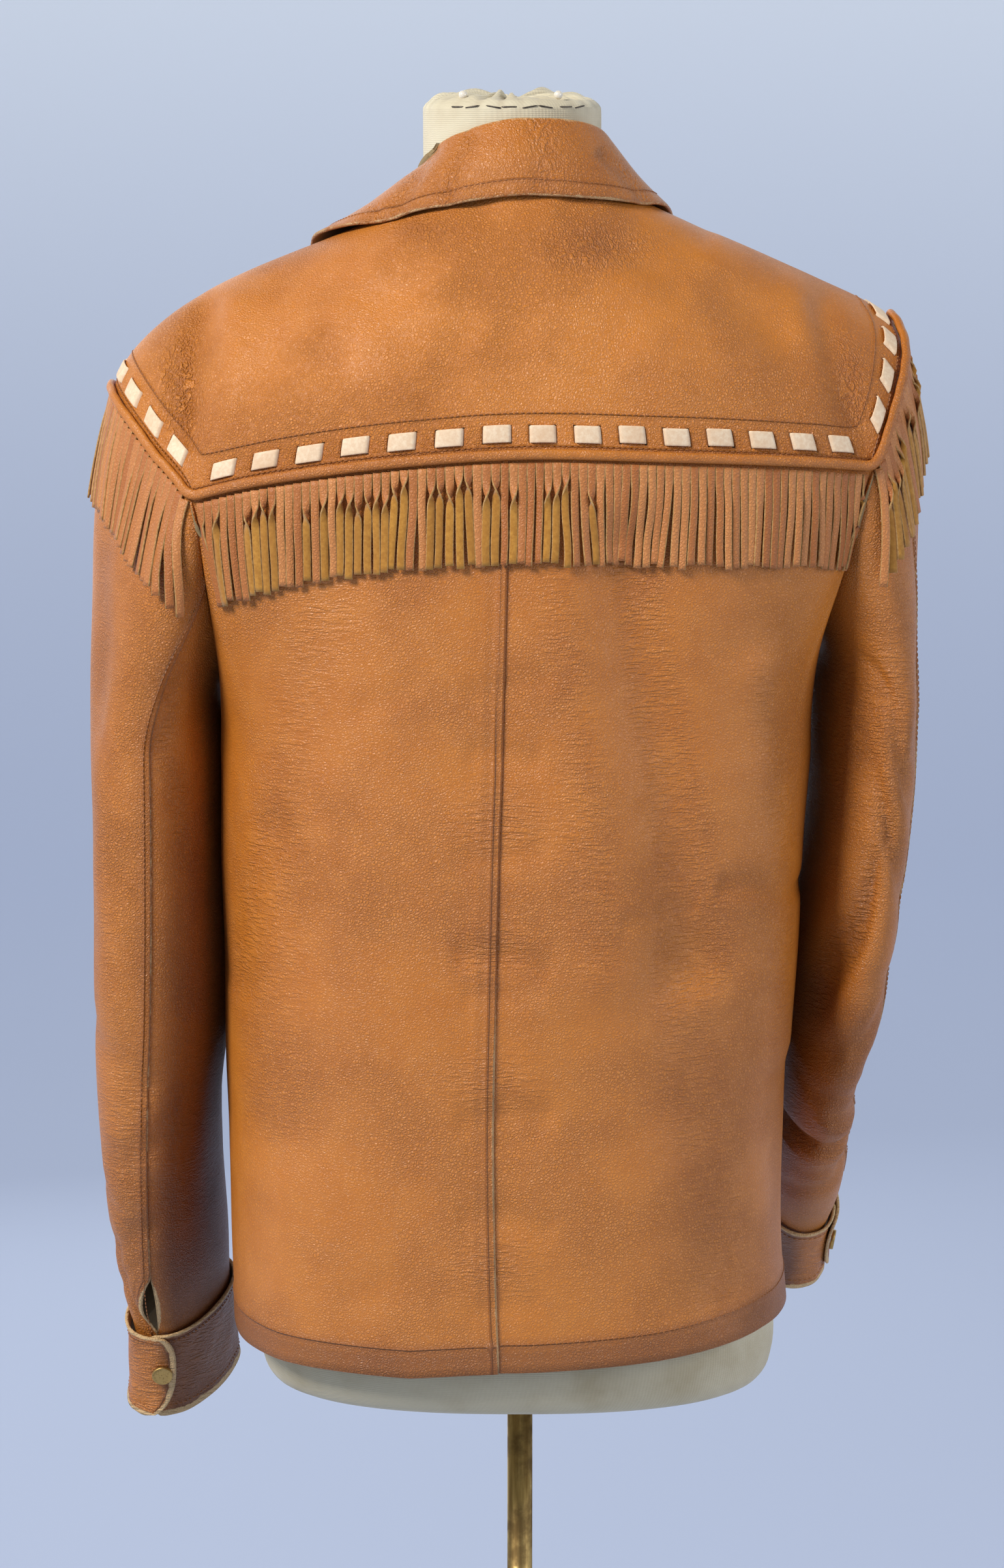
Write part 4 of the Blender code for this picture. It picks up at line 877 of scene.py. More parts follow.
# Sleeves
# Each is cut in two, an outer and an inner half, sewn front and rear with the rear seam lapped
# and topstitched. They hang beside the body, the right one bent more, and crease at the elbow.
# centre x, y and z, half width, half depth (mm) and twist (degrees) of the rings down each arm
SLEEVE_LEFT = np.array([
    (220.3, 0, -385, 37.5, 84, 5), (219.6, 0, -450, 36.5, 80, 6), (219.8, -3, -525, 37.2, 74, 8),
    (222.0, -14, -600, 34.5, 67, 10), (220.5, -31, -660, 31, 60, 14), (216.5, -49, -712, 27, 52, 20),
    (213.5, -61, -745, 23, 45, 24), (213, -67, -762, 22, 43, 25)])
SLEEVE_RIGHT = np.array([
    (-206.5, 0, -355, 25, 86, 12), (-203, -3, -420, 24, 82, 12), (-196.5, -8, -485, 24, 76, 12),
    (-190.5, -22, -535, 24, 71, 11), (-181.5, -48, -577, 21, 64, 12), (-178, -83, -622, 24, 57, 14),
    (-175, -117, -661, 25.5, 51, 18), (-173, -143, -689, 23, 45, 20), (-172, -155, -702, 22, 43, 20)])
SLEEVE_POWER = 2.3
# azimuth of the cuff's lap, and the cells by which the front and rear seams are shifted
REAR_SEAM = {"left": (100.0, -2, 2), "right": (40.0, -4, -3)}
# azimuth in degrees, distance down the arm, slant in degrees, half length, half width, depth (mm)
FOLDS_LEFT = np.array([
    (60, 330, 20, 50, 9, 2.4), (100, 385, -15, 46, 8, 2.6), (120, 410, 12, 40, 7, 2.0),
    (80, 450, -25, 46, 9, 2.4), (-60, 360, 18, 60, 10, 3.4), (-80, 400, -12, 60, 9, 3.6),
    (-70, 440, 14, 55, 9, 3.2), (30, 90, 70, 80, 16, 3.0), (120, 160, 75, 110, 18, 4.0),
    (80, 560, 20, 34, 6, 2.0), (20, 575, -12, 34, 6, 2.0), (110, 540, -20, 30, 6, 1.8),
    (-40, 120, 65, 90, 16, 3.0), (60, 240, 80, 90, 20, -3.0), (160, 430, 10, 50, 9, 2.4),
    (75, 505, 64, 60, 7, 2.6), (40, 420, 30, 40, 6, 1.4), (96, 350, -30, 36, 5, 1.4),
    (70, 480, -40, 36, 5, 1.4)])
FOLDS_RIGHT = np.array([
    (90, 170, -52, 54, 8, 3.4), (105, 205, -46, 52, 8, 3.4), (80, 235, -44, 50, 9, 2.6),
    (125, 285, 58, 60, 17, 8.0), (95, 335, 24, 60, 8, 3.4), (100, 425, 6, 60, 7, 6.0),
    (90, 400, -10, 44, 9, -3.6), (60, 448, 10, 50, 7, 3.0), (-80, 380, 14, 60, 9, 4.5),
    (-70, 415, -12, 60, 8, 4.8), (-90, 450, 10, 55, 9, 3.6), (20, 360, -18, 46, 9, 2.2),
    (-50, 150, 60, 90, 16, 3.0), (100, 470, 24, 40, 7, 2.8), (60, 555, 12, 36, 7, 2.4),
    (40, 120, 72, 80, 15, 2.4), (95, 580, -16, 30, 6, 2.0), (170, 430, 8, 50, 9, 2.4),
    (70, 300, 8, 44, 6, 1.8), (80, 370, 14, 46, 6, 1.8), (110, 120, -58, 44, 7, 2.6),
    (60, 390, 4, 40, 5, 1.4)])


def sleeve_rings(table, ahead, angle):
    """Rings of a sleeve: each a superellipse square to the arm's line, turned about it by the twist."""
    centre = world(table)
    side = np.sign(centre[0, 0])
    across = np.broadcast_to(np.array([side, 0.0, 0.0]), centre.shape)
    across = unit(across - ahead * np.sum(across * ahead, axis=1, keepdims=True))
    rear = np.cross(ahead, across)
    rear = rear * np.where(rear[:, 1:2] < 0, -1, 1)
    twist = np.radians(table[:, 5:6])
    axis_a = across * np.cos(twist) - rear * np.sin(twist)
    axis_b = rear * np.cos(twist) + across * np.sin(twist)
    u, v = oval(angle, 0.0, 1.0, 1.0, 1.0, SLEEVE_POWER)
    return (centre[:, None] + axis_a[:, None] * (u[None] * table[:, 3:4] / 1000)[..., None]
            + axis_b[:, None] * (v[None] * table[:, 4:5] / 1000)[..., None])


def sleeve_grid(table, upper, lower):
    """A sleeve's rows: a cubic from the armhole to the first ring, then rings along the arm's curve."""
    ring0 = np.vstack([upper[:-1], lower[:-1]])
    side = np.sign(ring0[0, 0])
    index = np.arange(len(ring0)) / FINE
    angle = np.radians(np.interp(
        index, [0, ARM_CELLS / 2, ARM_CELLS, ARM_CELLS + UNDER_CELLS / 2, ARM_CELLS + UNDER_CELLS],
        [-62, 0, 62, 180, 298]))
    fine_table = spline(table, 9)
    ahead = unit(np.gradient(world(fine_table), axis=0))
    settle = np.clip(np.arange(len(ahead)) / 9, 0, 1)[:, None]
    ahead = unit(ahead * settle + down * (1 - settle))
    rings = sleeve_rings(fine_table, ahead, angle)
    far = np.linalg.norm(rings[0] - ring0, axis=1)[:, None]
    top_share = np.clip(np.cos(angle), 0, 1)[:, None]
    under_share = np.clip(-np.cos(angle), 0, 1)[:, None]
    out = side * np.array([1.0, 0.0, 0.0])
    rear = np.array([0.0, 1.0, 0.0])
    lean = (0.22 + 0.06 * top_share + 0.5 * under_share) * out + 0.12 * np.sin(angle)[:, None] * rear
    leave0 = unit(lean + down * 0.95) * far * 0.9
    rows = [hermite(ring0, rings[0], leave0, down * far * 0.9, s) for s in np.linspace(0, 1, 40)[:-1]]
    return np.concatenate([np.stack(rows), rings]), angle


def outward_normals(grid):
    normal = grid_normals(grid, wrap=True)
    outward = grid - grid.mean(axis=1, keepdims=True)
    return normal * np.where(np.sum(normal * outward, axis=-1) < 0, -1, 1)[..., None]


def length_down(grid):
    """Metres down a sleeve to each ring, the mean over its columns."""
    return np.concatenate([[0], np.cumsum(np.linalg.norm(np.diff(grid, axis=0), axis=2).mean(axis=1))])


def sleeve_folds(grid, angle, folds):
    """Depth of a sleeve's creases: troughs drawn on its unrolled surface, across by girth, down by length."""
    length = length_down(grid) * 1000
    girth = np.linalg.norm(np.roll(grid, -1, axis=1) - grid, axis=2).sum(axis=1) * 1000
    total = np.zeros(grid.shape[:2])
    for turn_at, run_at, slant, half_length, width, depth in folds:
        off_angle = (np.degrees(angle)[None] - turn_at + 180) % 360 - 180
        x = off_angle / 360 * girth[:, None]
        z = (length - run_at)[:, None]
        lean = np.radians(slant)
        run_along = x * np.cos(lean) + z * np.sin(lean)
        off = -x * np.sin(lean) + z * np.cos(lean) + 0.0016 * run_along**2
        off = off + 0.2 * width * np.sin(run_along / 11)
        fade = np.exp(-(run_along / half_length) ** 4)
        total += depth * bell(off, width) * fade
    return total / 1000, length


deerskin_sleeve = deerskin("deerskin_sleeve", grain=1.2, wear=0.55)
VENT_LONG, VENT_WIDE, VENT_FROM = 0.050, 0.0070, 0.016
TUCK_TURN, TUCK_WIDTH, TUCK_DEPTH = 206.0, 24, 0.0032
# How far round the painted shadow on the inner side starts, its strength, the painted shade all over, and the
# fine wrinkling
INNER_FROM = {"left": 0.15, "right": 0.60}
INNER_SHADE = {"left": 0.8, "right": 0.38}
ALL_OVER_SHADE = {"left": 0.0, "right": 0.17}
UPPER_CREASE = {"left": 0.0, "right": 0.38}
SCRATCH = ((-0.2105, -0.410), (-0.2215, -0.4035))
# Width, length and area of each cut half, in metres and square metres
SLEEVE_CUTS = {"left": ((0.290, 0.610, 0.135), (0.180, 0.520, 0.062)),
               "right": ((0.270, 0.610, 0.120), (0.240, 0.560, 0.085))}


def scratch_distance(grid):
    """Millimetres from the short scratch across the back of the wearer's right sleeve, seen from behind."""
    (x0, z0), (x1, z1) = SCRATCH
    x, z = grid[..., 0], grid[..., 2] - NECK_TOP
    share = np.clip(((x - x0) * (x1 - x0) + (z - z0) * (z1 - z0)) / ((x1 - x0) ** 2 + (z1 - z0) ** 2), 0, 1)
    off = np.hypot(x - x0 - share * (x1 - x0), z - z0 - share * (z1 - z0)) * 1000
    return np.where(grid[..., 1] > 0, off, 30.0)


sleeves = {}
for side, table, upper, lower, folds in (
        ("left", SLEEVE_LEFT, upper_left, lower_left, FOLDS_LEFT),
        ("right", SLEEVE_RIGHT, upper_right, lower_right, FOLDS_RIGHT)):
    grid, angle = sleeve_grid(table, upper, lower)
    normal = outward_normals(grid)
    deep, length = sleeve_folds(grid, angle, folds)
    settled = np.clip(length / 60, 0, 1)[:, None]
    flank = grid[..., 0] * np.sign(grid[0, 0, 0])
    near_body = np.clip((flank - 0.178) / 0.012, 0.12, 1)
    # Folds pressed flat where the left sleeve lies along the body
    calm_inside = np.clip(1 + (np.cos(angle) + 0.1) * 1.3, 0.1, 1)[None] if side == "left" else 1.0
    pressed = (deep + swells(grid, 0.0011, 11)) * settled * calm_inside
    grid = grid - normal * np.where(pressed > 0, pressed, pressed * near_body)[..., None]
    if side == "left":
        # The inner side leans toward the body, so that no light shows between them above the hip
        high = (grid[..., 2] - NECK_TOP) * 1000
        off_turn = (np.degrees(angle)[None] - TUCK_TURN + 180) % 360 - 180
        tuck = TUCK_DEPTH * bell(off_turn, TUCK_WIDTH)
        tuck = tuck * np.clip((-325 - high) / 20, 0, 1) * np.clip((high + 605) / 40, 0, 1)
        grid = grid + outward_normals(grid) * tuck[..., None]
    normal = outward_normals(grid)
    sleeves[side] = (grid, normal)
    far_down = length[:, None]
    folded = np.clip(np.abs(deep) * settled * 160 - 0.25, 0, 0.5)
    folded = np.maximum(folded, 0.30 * bell(far_down - 400, 90))
    folded = np.maximum(folded, UPPER_CREASE[side] * bell(far_down - 150, 90))
    # Painted shade in the folds' troughs
    troughs = 0.30 * np.clip(deep * settled * 160, 0, 1)
    # Painted shadow on the inner side, toward the body, growing down the arm
    inner_shadow = np.clip((-np.cos(angle)[None] - INNER_FROM[side]) * 2.2, 0, 1)
    inner_shadow = inner_shadow * np.clip((far_down - 120) / 260, 0, 1)
    from_wrist = length_down(grid[::-1])[::-1]
    opened = np.sin(np.pi * np.clip((VENT_LONG + VENT_FROM - from_wrist) / VENT_LONG, 0, 1)) ** 0.8
    cols = grid.shape[1]
    start, end = REAR_SEAM[side][1] * FINE, (ARM_CELLS + REAR_SEAM[side][2]) * FINE
    for part, chosen, cut in (("outer", np.arange(start, end + 1), SLEEVE_CUTS[side][0]),
                              ("inner", np.arange(end, cols + start + 1), SLEEVE_CUTS[side][1])):
        half, half_normal = grid[:, chosen % cols], normal[:, chosen % cols]
        first, last = seam_distance(half, 0), -seam_distance(half, -1)
        # Painted shade: the inner side's shadow, the shade all over the right sleeve, and the fold troughs
        painted_shade = np.maximum(INNER_SHADE[side] * inner_shadow + ALL_OVER_SHADE[side], troughs)
        crease, shade = folded[:, chosen % cols], painted_shade[:, chosen % cols]
        if part == "outer":
            rear = last
            half = half + half_normal * (SEAM_RISE * below(rear, SEAM_STITCH + 2, 0.7))[..., None]
            parted = (opened * VENT_WIDE)[:, None] * bell(rear, 14)
            half = half - unit(np.gradient(half, axis=1)) * parted[..., None]
            line = np.minimum(np.abs(rear - SEAM_STITCH), rear * 2 + 0.3)
            edge = rear + 1.9 - 2.6 * opened[:, None]
            if side == "right":
                edge = np.minimum(edge, scratch_distance(half) + 1.35)
            shade = np.maximum(shade, 0.2 * below(rear, 9, 0.9))
        else:
            parted = (opened * VENT_WIDE * 0.3)[:, None] * bell(first, 14)
            half = half + unit(np.gradient(half, axis=1)) * parted[..., None]
            line, edge = first + 0.4, first + 2.2 - 2.6 * opened[:, None]
            # Painted shadow beside the outer half's lapped edge
            shade = np.maximum(shade, 0.25 * bell(first, 4))
        piece = leather_shell(f"sleeve_{side}_{part}_skin", half, half_normal, deerskin_sleeve, line=line,
                              edge=edge, crease=crease, shade=shade)
        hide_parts(f"sleeve_{side}_{part}")

# Cuffs
# Each is a straight double band sewn over the gathered end of the sleeve. Its rounded ends lap
# at the rear seam and snap shut, and rubbing has worn its rolled edges to cream.
CUFF_LEFT = np.array([
    (213.5, -61, -746, 22.5, 44, 24), (213, -67, -762, 22, 43, 25), (213, -75, -783, 22, 43, 26),
    (213.5, -83, -803, 22.5, 44, 27)])
CUFF_RIGHT = np.array([
    (-173.5, -142, -688, 22.5, 44, 20), (-172, -155, -702, 22, 43, 20), (-171, -170, -718, 22, 43, 20),
    (-170, -185, -734, 22.5, 44, 20)])
CUFF_LAP = 0.021
CUFF_WALL = 0.0021
CUFF_STITCH = 4.4

deerskin_cuff = deerskin("deerskin_cuff", grain=1.0, wear=0.95)


def cuff_grid(table, gap_at):
    """A band wound once round the wrist and a little more, creeping outwards so that its ends lap."""
    fine_table = spline(table, 12)
    ahead = unit(np.gradient(world(fine_table), axis=0))
    half = (table[:, 3] + table[:, 4]).mean() / 2000
    span = 2 * np.pi + CUFF_LAP / half
    share = np.linspace(0, 1, 241)
    turn = np.radians(gap_at) - (CUFF_LAP / half) * 0.35 + share * span
    lift = 0.0009 + share * (CUFF_WALL + 0.0008)
    base_ring = sleeve_rings(fine_table, ahead, turn)
    grown = fine_table.copy()
    grown[:, 3:5] += 1
    out = unit(sleeve_rings(grown, ahead, turn) - base_ring)
    outer = base_ring + out * (lift[None] + CUFF_WALL)[..., None]
    rows = np.linspace(0, 1, len(outer))[:, None]
    low_corner, high_corner = np.clip((rows - 0.50) / 0.50, 0, 1), np.clip((0.42 - rows) / 0.42, 0, 1)
    pull = (1 - np.sqrt(1 - low_corner**2)) * 0.019 + (1 - np.sqrt(1 - high_corner**2)) * 0.011
    near_end = np.clip((share - 0.85) / 0.15, 0, 1)[None] ** 1.3
    near_start = np.clip((0.12 - share) / 0.12, 0, 1)[None] ** 1.3
    number = np.arange(len(share))
    taken_from = number + pull * (0.6 * near_start - near_end) / (span * half / (len(share) - 1))
    outer, out = (np.stack([[np.interp(taken_from[i], number, skin[i, :, k]) for k in range(3)]
                            for i in range(len(skin))]).transpose(0, 2, 1) for skin in (outer, out))
    outer = outer + out * (0.0004 * np.sin(share * 60)[None] * np.sin(rows * 9))[..., None]
    return outer, out


for side, table in (("left", CUFF_LEFT), ("right", CUFF_RIGHT)):
    outer, out = cuff_grid(table, REAR_SEAM[side][0])
    height = np.concatenate([[0], np.cumsum(np.linalg.norm(np.diff(outer[:, 120], axis=0), axis=1))]) * 1000
    from_top, from_low = height[:, None] + 0 * outer[..., 0], height[-1] - height[:, None] + 0 * outer[..., 0]
    first, last = seam_distance(outer, 0), -seam_distance(outer, -1)
    edge = np.minimum(np.minimum(first, last), np.minimum(from_top, from_low))
    rolled = bell(edge, 2.6)
    outer = outer + out * (0.0008 * rolled)[..., None]
    # Painted shadow on the side of the cuff toward the body
    shadow_toward_body = np.clip((np.abs(outer[..., 0]).max() - 0.020 - np.abs(outer[..., 0])) / 0.012, 0, 1)
    rubbed_edge = np.minimum(np.minimum(first, last), np.minimum(from_top + 1.7, from_low))
    cuff = leather_shell(f"cuff_{side}_skin", outer, out, deerskin_cuff, CUFF_WALL,
                         line=np.abs(edge - CUFF_STITCH),
                         edge=rubbed_edge, shade=0.8 * shadow_toward_body, crease=0.5 + 0 * edge)
    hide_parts(f"cuff_{side}")
    sleeves[side] += (outer, out)

# Collar
# A shirt collar: a stand sewn to the neck seam that rolls over into a leaf with a topstitched
# edge. The leaf lies on the yoke at the back and lifts off the wearer's left shoulder.
# azimuth, height of the fold, depth of the leaf and its height over the yoke, in degrees and mm
COLLAR = np.array([
    (-84, -74, 60, 4.4), (-60, -70, 74, 4.6), (-25, -57, 70, 4.6), (0, -46, 60, 5.5), (28, -31, 46, 6.0),
    (60, -17, 30, 4.0), (90, -10, 22, 3.2), (120, -11, 27, 3.4), (145, -16, 31, 3.6), (163, -25, 32, 3.8),
    (180, -35, 32, 4.0), (225, -58, 50, 4.4), (264, -72, 58, 4.4)])
LEAF_STITCH = 9.0
COLLAR_WALL, COLLAR_STEPS, CURVE_PER_KNOT = 0.0021, 261, 14
COLLAR_CREASES = np.array([
    (52, -28, 78, -66, 5, 2.2), (30, -20, 44, -58, 5, 1.4), (-48, -30, -74, -58, 4, 2.0),
    (-10, -14, -16, -50, 9, 0.9), (84, -66, 108, -84, 5, 2.2)])

deerskin_collar = deerskin("deerskin_collar", grain=0.9, wear=0.5, dark=0.14, wrinkle=(240.0, 240.0, 90.0))
collar_turn = np.radians(np.linspace(COLLAR[0, 0], COLLAR[-1, 0], COLLAR_STEPS))
fold_z, leaf, lift = smooth_table(COLLAR, np.degrees(collar_turn)).T
column_at = np.interp(collar_turn, azimuth, np.arange(len(azimuth)))
columns = np.arange(len(azimuth))


def yoke_below(distance):
    """Yoke points a distance down from the neck seam, at the collar's columns."""
    spread_out = np.interp(columns, column_at, distance)
    points = down_columns(yoke_fine, run, spread_out)
    return np.stack([np.interp(column_at, columns, points[:, k]) for k in range(3)], axis=-1)


under_edge, further = yoke_below(leaf / 1000), yoke_below(leaf / 1000 + 0.002)
off_yoke = unit(np.cross(further - under_edge, np.gradient(under_edge, axis=0)))
leaf_edge = under_edge + off_yoke * (lift / 1000)[:, None]
stand_base = neck_ring(collar_turn, -1.8, neck_height(collar_turn) + 0.9)
stand_top = neck_ring(collar_turn, -5.5, fold_z - 4)
fold_top = neck_ring(collar_turn, -3.0, fold_z)
fold_out = neck_ring(collar_turn, 0.8, fold_z - 3.5)
swell = 0.0028 * np.maximum(np.sin(collar_turn), 0) ** 2
droop = 0.0060 * np.maximum(-np.sin(collar_turn), 0) - 0.0015
leaf_mid = fold_out * 0.5 + leaf_edge * 0.5
leaf_mid = leaf_mid + np.stack([swell * np.cos(collar_turn), swell, swell + droop], axis=-1)
knots = np.stack([stand_base, stand_top, fold_top, fold_out, leaf_mid, leaf_edge])
collar_curve = spline(knots.reshape(len(knots), -1), CURVE_PER_KNOT).reshape(-1, COLLAR_STEPS, 3)
collar_normal = grid_normals(collar_curve)
ripple = dents(collar_curve, COLLAR_CREASES)
collar_curve = collar_curve - collar_normal * (ripple + swells(collar_curve, 0.0004, 17))[..., None]
collar_normal = grid_normals(collar_curve)
down_leaf = np.linalg.norm(np.diff(collar_curve, axis=0), axis=2) * 1000
to_edge = np.concatenate([np.cumsum(down_leaf[::-1], axis=0)[::-1], np.zeros((1, COLLAR_STEPS))])
end_gap = np.minimum(seam_distance(collar_curve, 0), -seam_distance(collar_curve, -1))
collar_line = np.minimum(
    np.abs(to_edge - LEAF_STITCH), np.abs(end_gap - LEAF_STITCH) + (to_edge < LEAF_STITCH) * 9)
from_fold = np.abs(to_edge - to_edge[2 * CURVE_PER_KNOT][None])
collar_rub = np.minimum(np.minimum(to_edge, end_gap) + 1.5, from_fold * 0.45 + 1.1)
collar_shade = 0.22 * bell(to_edge, 3.0)
collar_crease = np.clip(0.12 + np.abs(ripple) * 300, 0, 0.5)
collar = leather_shell("collar_skin", collar_curve, collar_normal, deerskin_collar, COLLAR_WALL,
                       line=collar_line, edge=collar_rub, shade=collar_shade, crease=collar_crease)
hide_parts("collar")

# Piping
# A rounded deerskin welt sewn over the seam between the yoke and what hangs from it, along the
# back and up over both armholes, darker in the crease below it.
PIPING_HALF, PIPING_LIFT = (0.0030, 0.0022), 0.0031

deerskin_piping = deerskin("deerskin_piping", grain=0.6, wear=0.30, dark=0.12)
path = edge_line[L0:R1 + 1]
path_normal = yoke_normal[-1, L0:R1 + 1]


def softened(values, reach=4):
    """A running mean over neighbours on both sides along a path, with the ends held."""
    padded = np.vstack([np.repeat(values[:1], reach, axis=0), values, np.repeat(values[-1:], reach, axis=0)])
    window = np.ones(2 * reach + 1) / (2 * reach + 1)
    return np.stack([np.convolve(padded[:, k], window, "valid") for k in range(3)], axis=-1)


path_out = unit(softened(path_normal))
path_ahead = unit(np.gradient(softened(path), axis=0))
path_across = unit(np.cross(path_ahead, path_out))
wobble = 0.0003 * np.sin(np.arange(len(path)) * 0.23) + 0.0002 * np.sin(np.arange(len(path)) * 0.71)
piping_centre = softened(path) + path_out * (PIPING_LIFT + wobble)[:, None]
piping = strip_tube("piping_welt", piping_centre, path_across, path_out, PIPING_HALF[0], PIPING_HALF[1],
                    [deerskin_piping], 2.2, 14, line=np.full(len(path), 30.0), edge=np.full(len(path), 8.0))
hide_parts("piping")

# Fringe
# Strips of deerskin cut from their lower edge into strands about 5 mm wide, sewn in under the
# piping. Grain shows on most strands; twisted ones show the ochre flesh side and pale cut edges.
STRAND_THICK, STRAND_ROOT = 0.0013, 0.0046
STRAND_RINGS = 20
# Corners of a strand's cross section, in half widths and half thicknesses
STRAND_CORNERS = np.array([
    (-1, 0.55), (-0.86, 1), (0.86, 1), (1, 0.55), (1, -0.55), (0.86, -1), (-0.86, -1), (-1, -0.55)])
GRAIN_SLOT, FLESH_SLOT, CUT_SLOT = 0, 1, 2


def flesh_side():
    paint = Paint("flesh_side", Roughness=0.95, Sheen_Weight=0.25)
    place = paint.place()
    nap = paint.noise(place, 380.0, 5.0, 0.7)
    tone = paint.layer("tone")
    ochre = paint.mixed(paint.step(nap, 0.3, 0.75), (0.400, 0.165, 0.016, 1), (0.600, 0.285, 0.040, 1))
    return paint.finish(paint.mixed(tone * 0.5, ochre, (0.32, 0.120, 0.014, 1)), None, nap, 0.0004, 0.6)


def cut_edge():
    paint = Paint("cut_edge", Roughness=0.9)
    place = paint.place()
    fibres = paint.noise(place, 500.0, 4.0, 0.7)
    colour = paint.mixed(paint.step(fibres, 0.35, 0.7), (0.36, 0.18, 0.05, 1), (0.56, 0.34, 0.13, 1))
    return paint.finish(colour, None, fibres, 0.0003, 0.5)


def strand_grain():
    paint = Paint("strand_grain", Roughness=0.55, Sheen_Weight=0.1)
    place = paint.place()
    pebble = paint.step(paint.cells(place, 520.0), 0.02, 0.3)
    tone = paint.layer("tone")
    tan = paint.mixed(tone, (0.640, 0.250, 0.068, 1), (0.430, 0.130, 0.022, 1))
    # Painted shade in the grain's valleys
    colour = paint.mixed((1 - pebble) * 0.3, tan, (0.26, 0.072, 0.010, 1))
    return paint.finish(colour, None, pebble, 0.0003, 0.6)


FRINGE_MATERIALS = [strand_grain(), flesh_side(), cut_edge()]


def on_surface(grid, normal, column, row, lift):
    """Points at fractional columns and rows of a grid, lifted along its normals."""
    i = np.clip(np.floor(row).astype(int), 0, grid.shape[0] - 2)
    j = np.clip(np.floor(column).astype(int), 0, grid.shape[1] - 2)
    u, v = (row - i)[..., None], (column - j)[..., None]

    def mix(a):
        above, under = a[i, j] * (1 - v) + a[i, j + 1] * v, a[i + 1, j] * (1 - v) + a[i + 1, j + 1] * v
        return above * (1 - u) + under * u

    return mix(grid) + unit(mix(normal)) * lift[..., None]


def row_of(grid, column, distance):
    """Fractional rows at distances down the columns of a grid."""
    runs = np.concatenate([np.zeros((1, grid.shape[1])),
                           np.cumsum(np.linalg.norm(np.diff(grid, axis=0), axis=2), axis=0)])
    near = np.clip(np.round(column).astype(int), 0, grid.shape[1] - 1)
    number = np.arange(len(runs))
    return np.stack([np.interp(distance[k], runs[:, near[k]], number) for k in range(len(column))])


def hanging_paths(grid, centre, start, length, straight, rings):
    """Fractional columns and rows of paths on a grid that leave down its columns and then turn to plumb.

    At each ring the step in rows and columns is the one whose sideways part on the surface is least.
    """
    steps = rings - 1
    hop = (length - start) / steps
    column, row = centre.copy(), row_of(grid, centre, np.full(len(centre), start))
    columns, rows = [column], [row]
    for k in range(steps):
        i = np.clip(row.astype(int), 0, grid.shape[0] - 2)
        j = np.clip(column.astype(int), 0, grid.shape[1] - 2)
        down_step, side_step = grid[i + 1, j] - grid[i, j], grid[i, j + 1] - grid[i, j]
        tangent = unit(side_step)
        level = unit(tangent * np.array([1.0, 1.0, 0.0]))
        slip = -np.sum(down_step * level, axis=1) / np.maximum(np.sum(side_step * level, axis=1), 1e-6)
        plumb = straight * np.clip((k - 0.5) / 3, 0, 1)
        slip = np.clip(slip * plumb, -1.5, 1.5)
        size = np.linalg.norm(down_step + side_step * slip[:, None], axis=1)
        share = hop / np.maximum(size, 1e-6)
        row, column = row + share, column + share * slip
        rows.append(row)
        columns.append(column)
    return np.stack(columns, axis=1), np.stack(rows, axis=1)


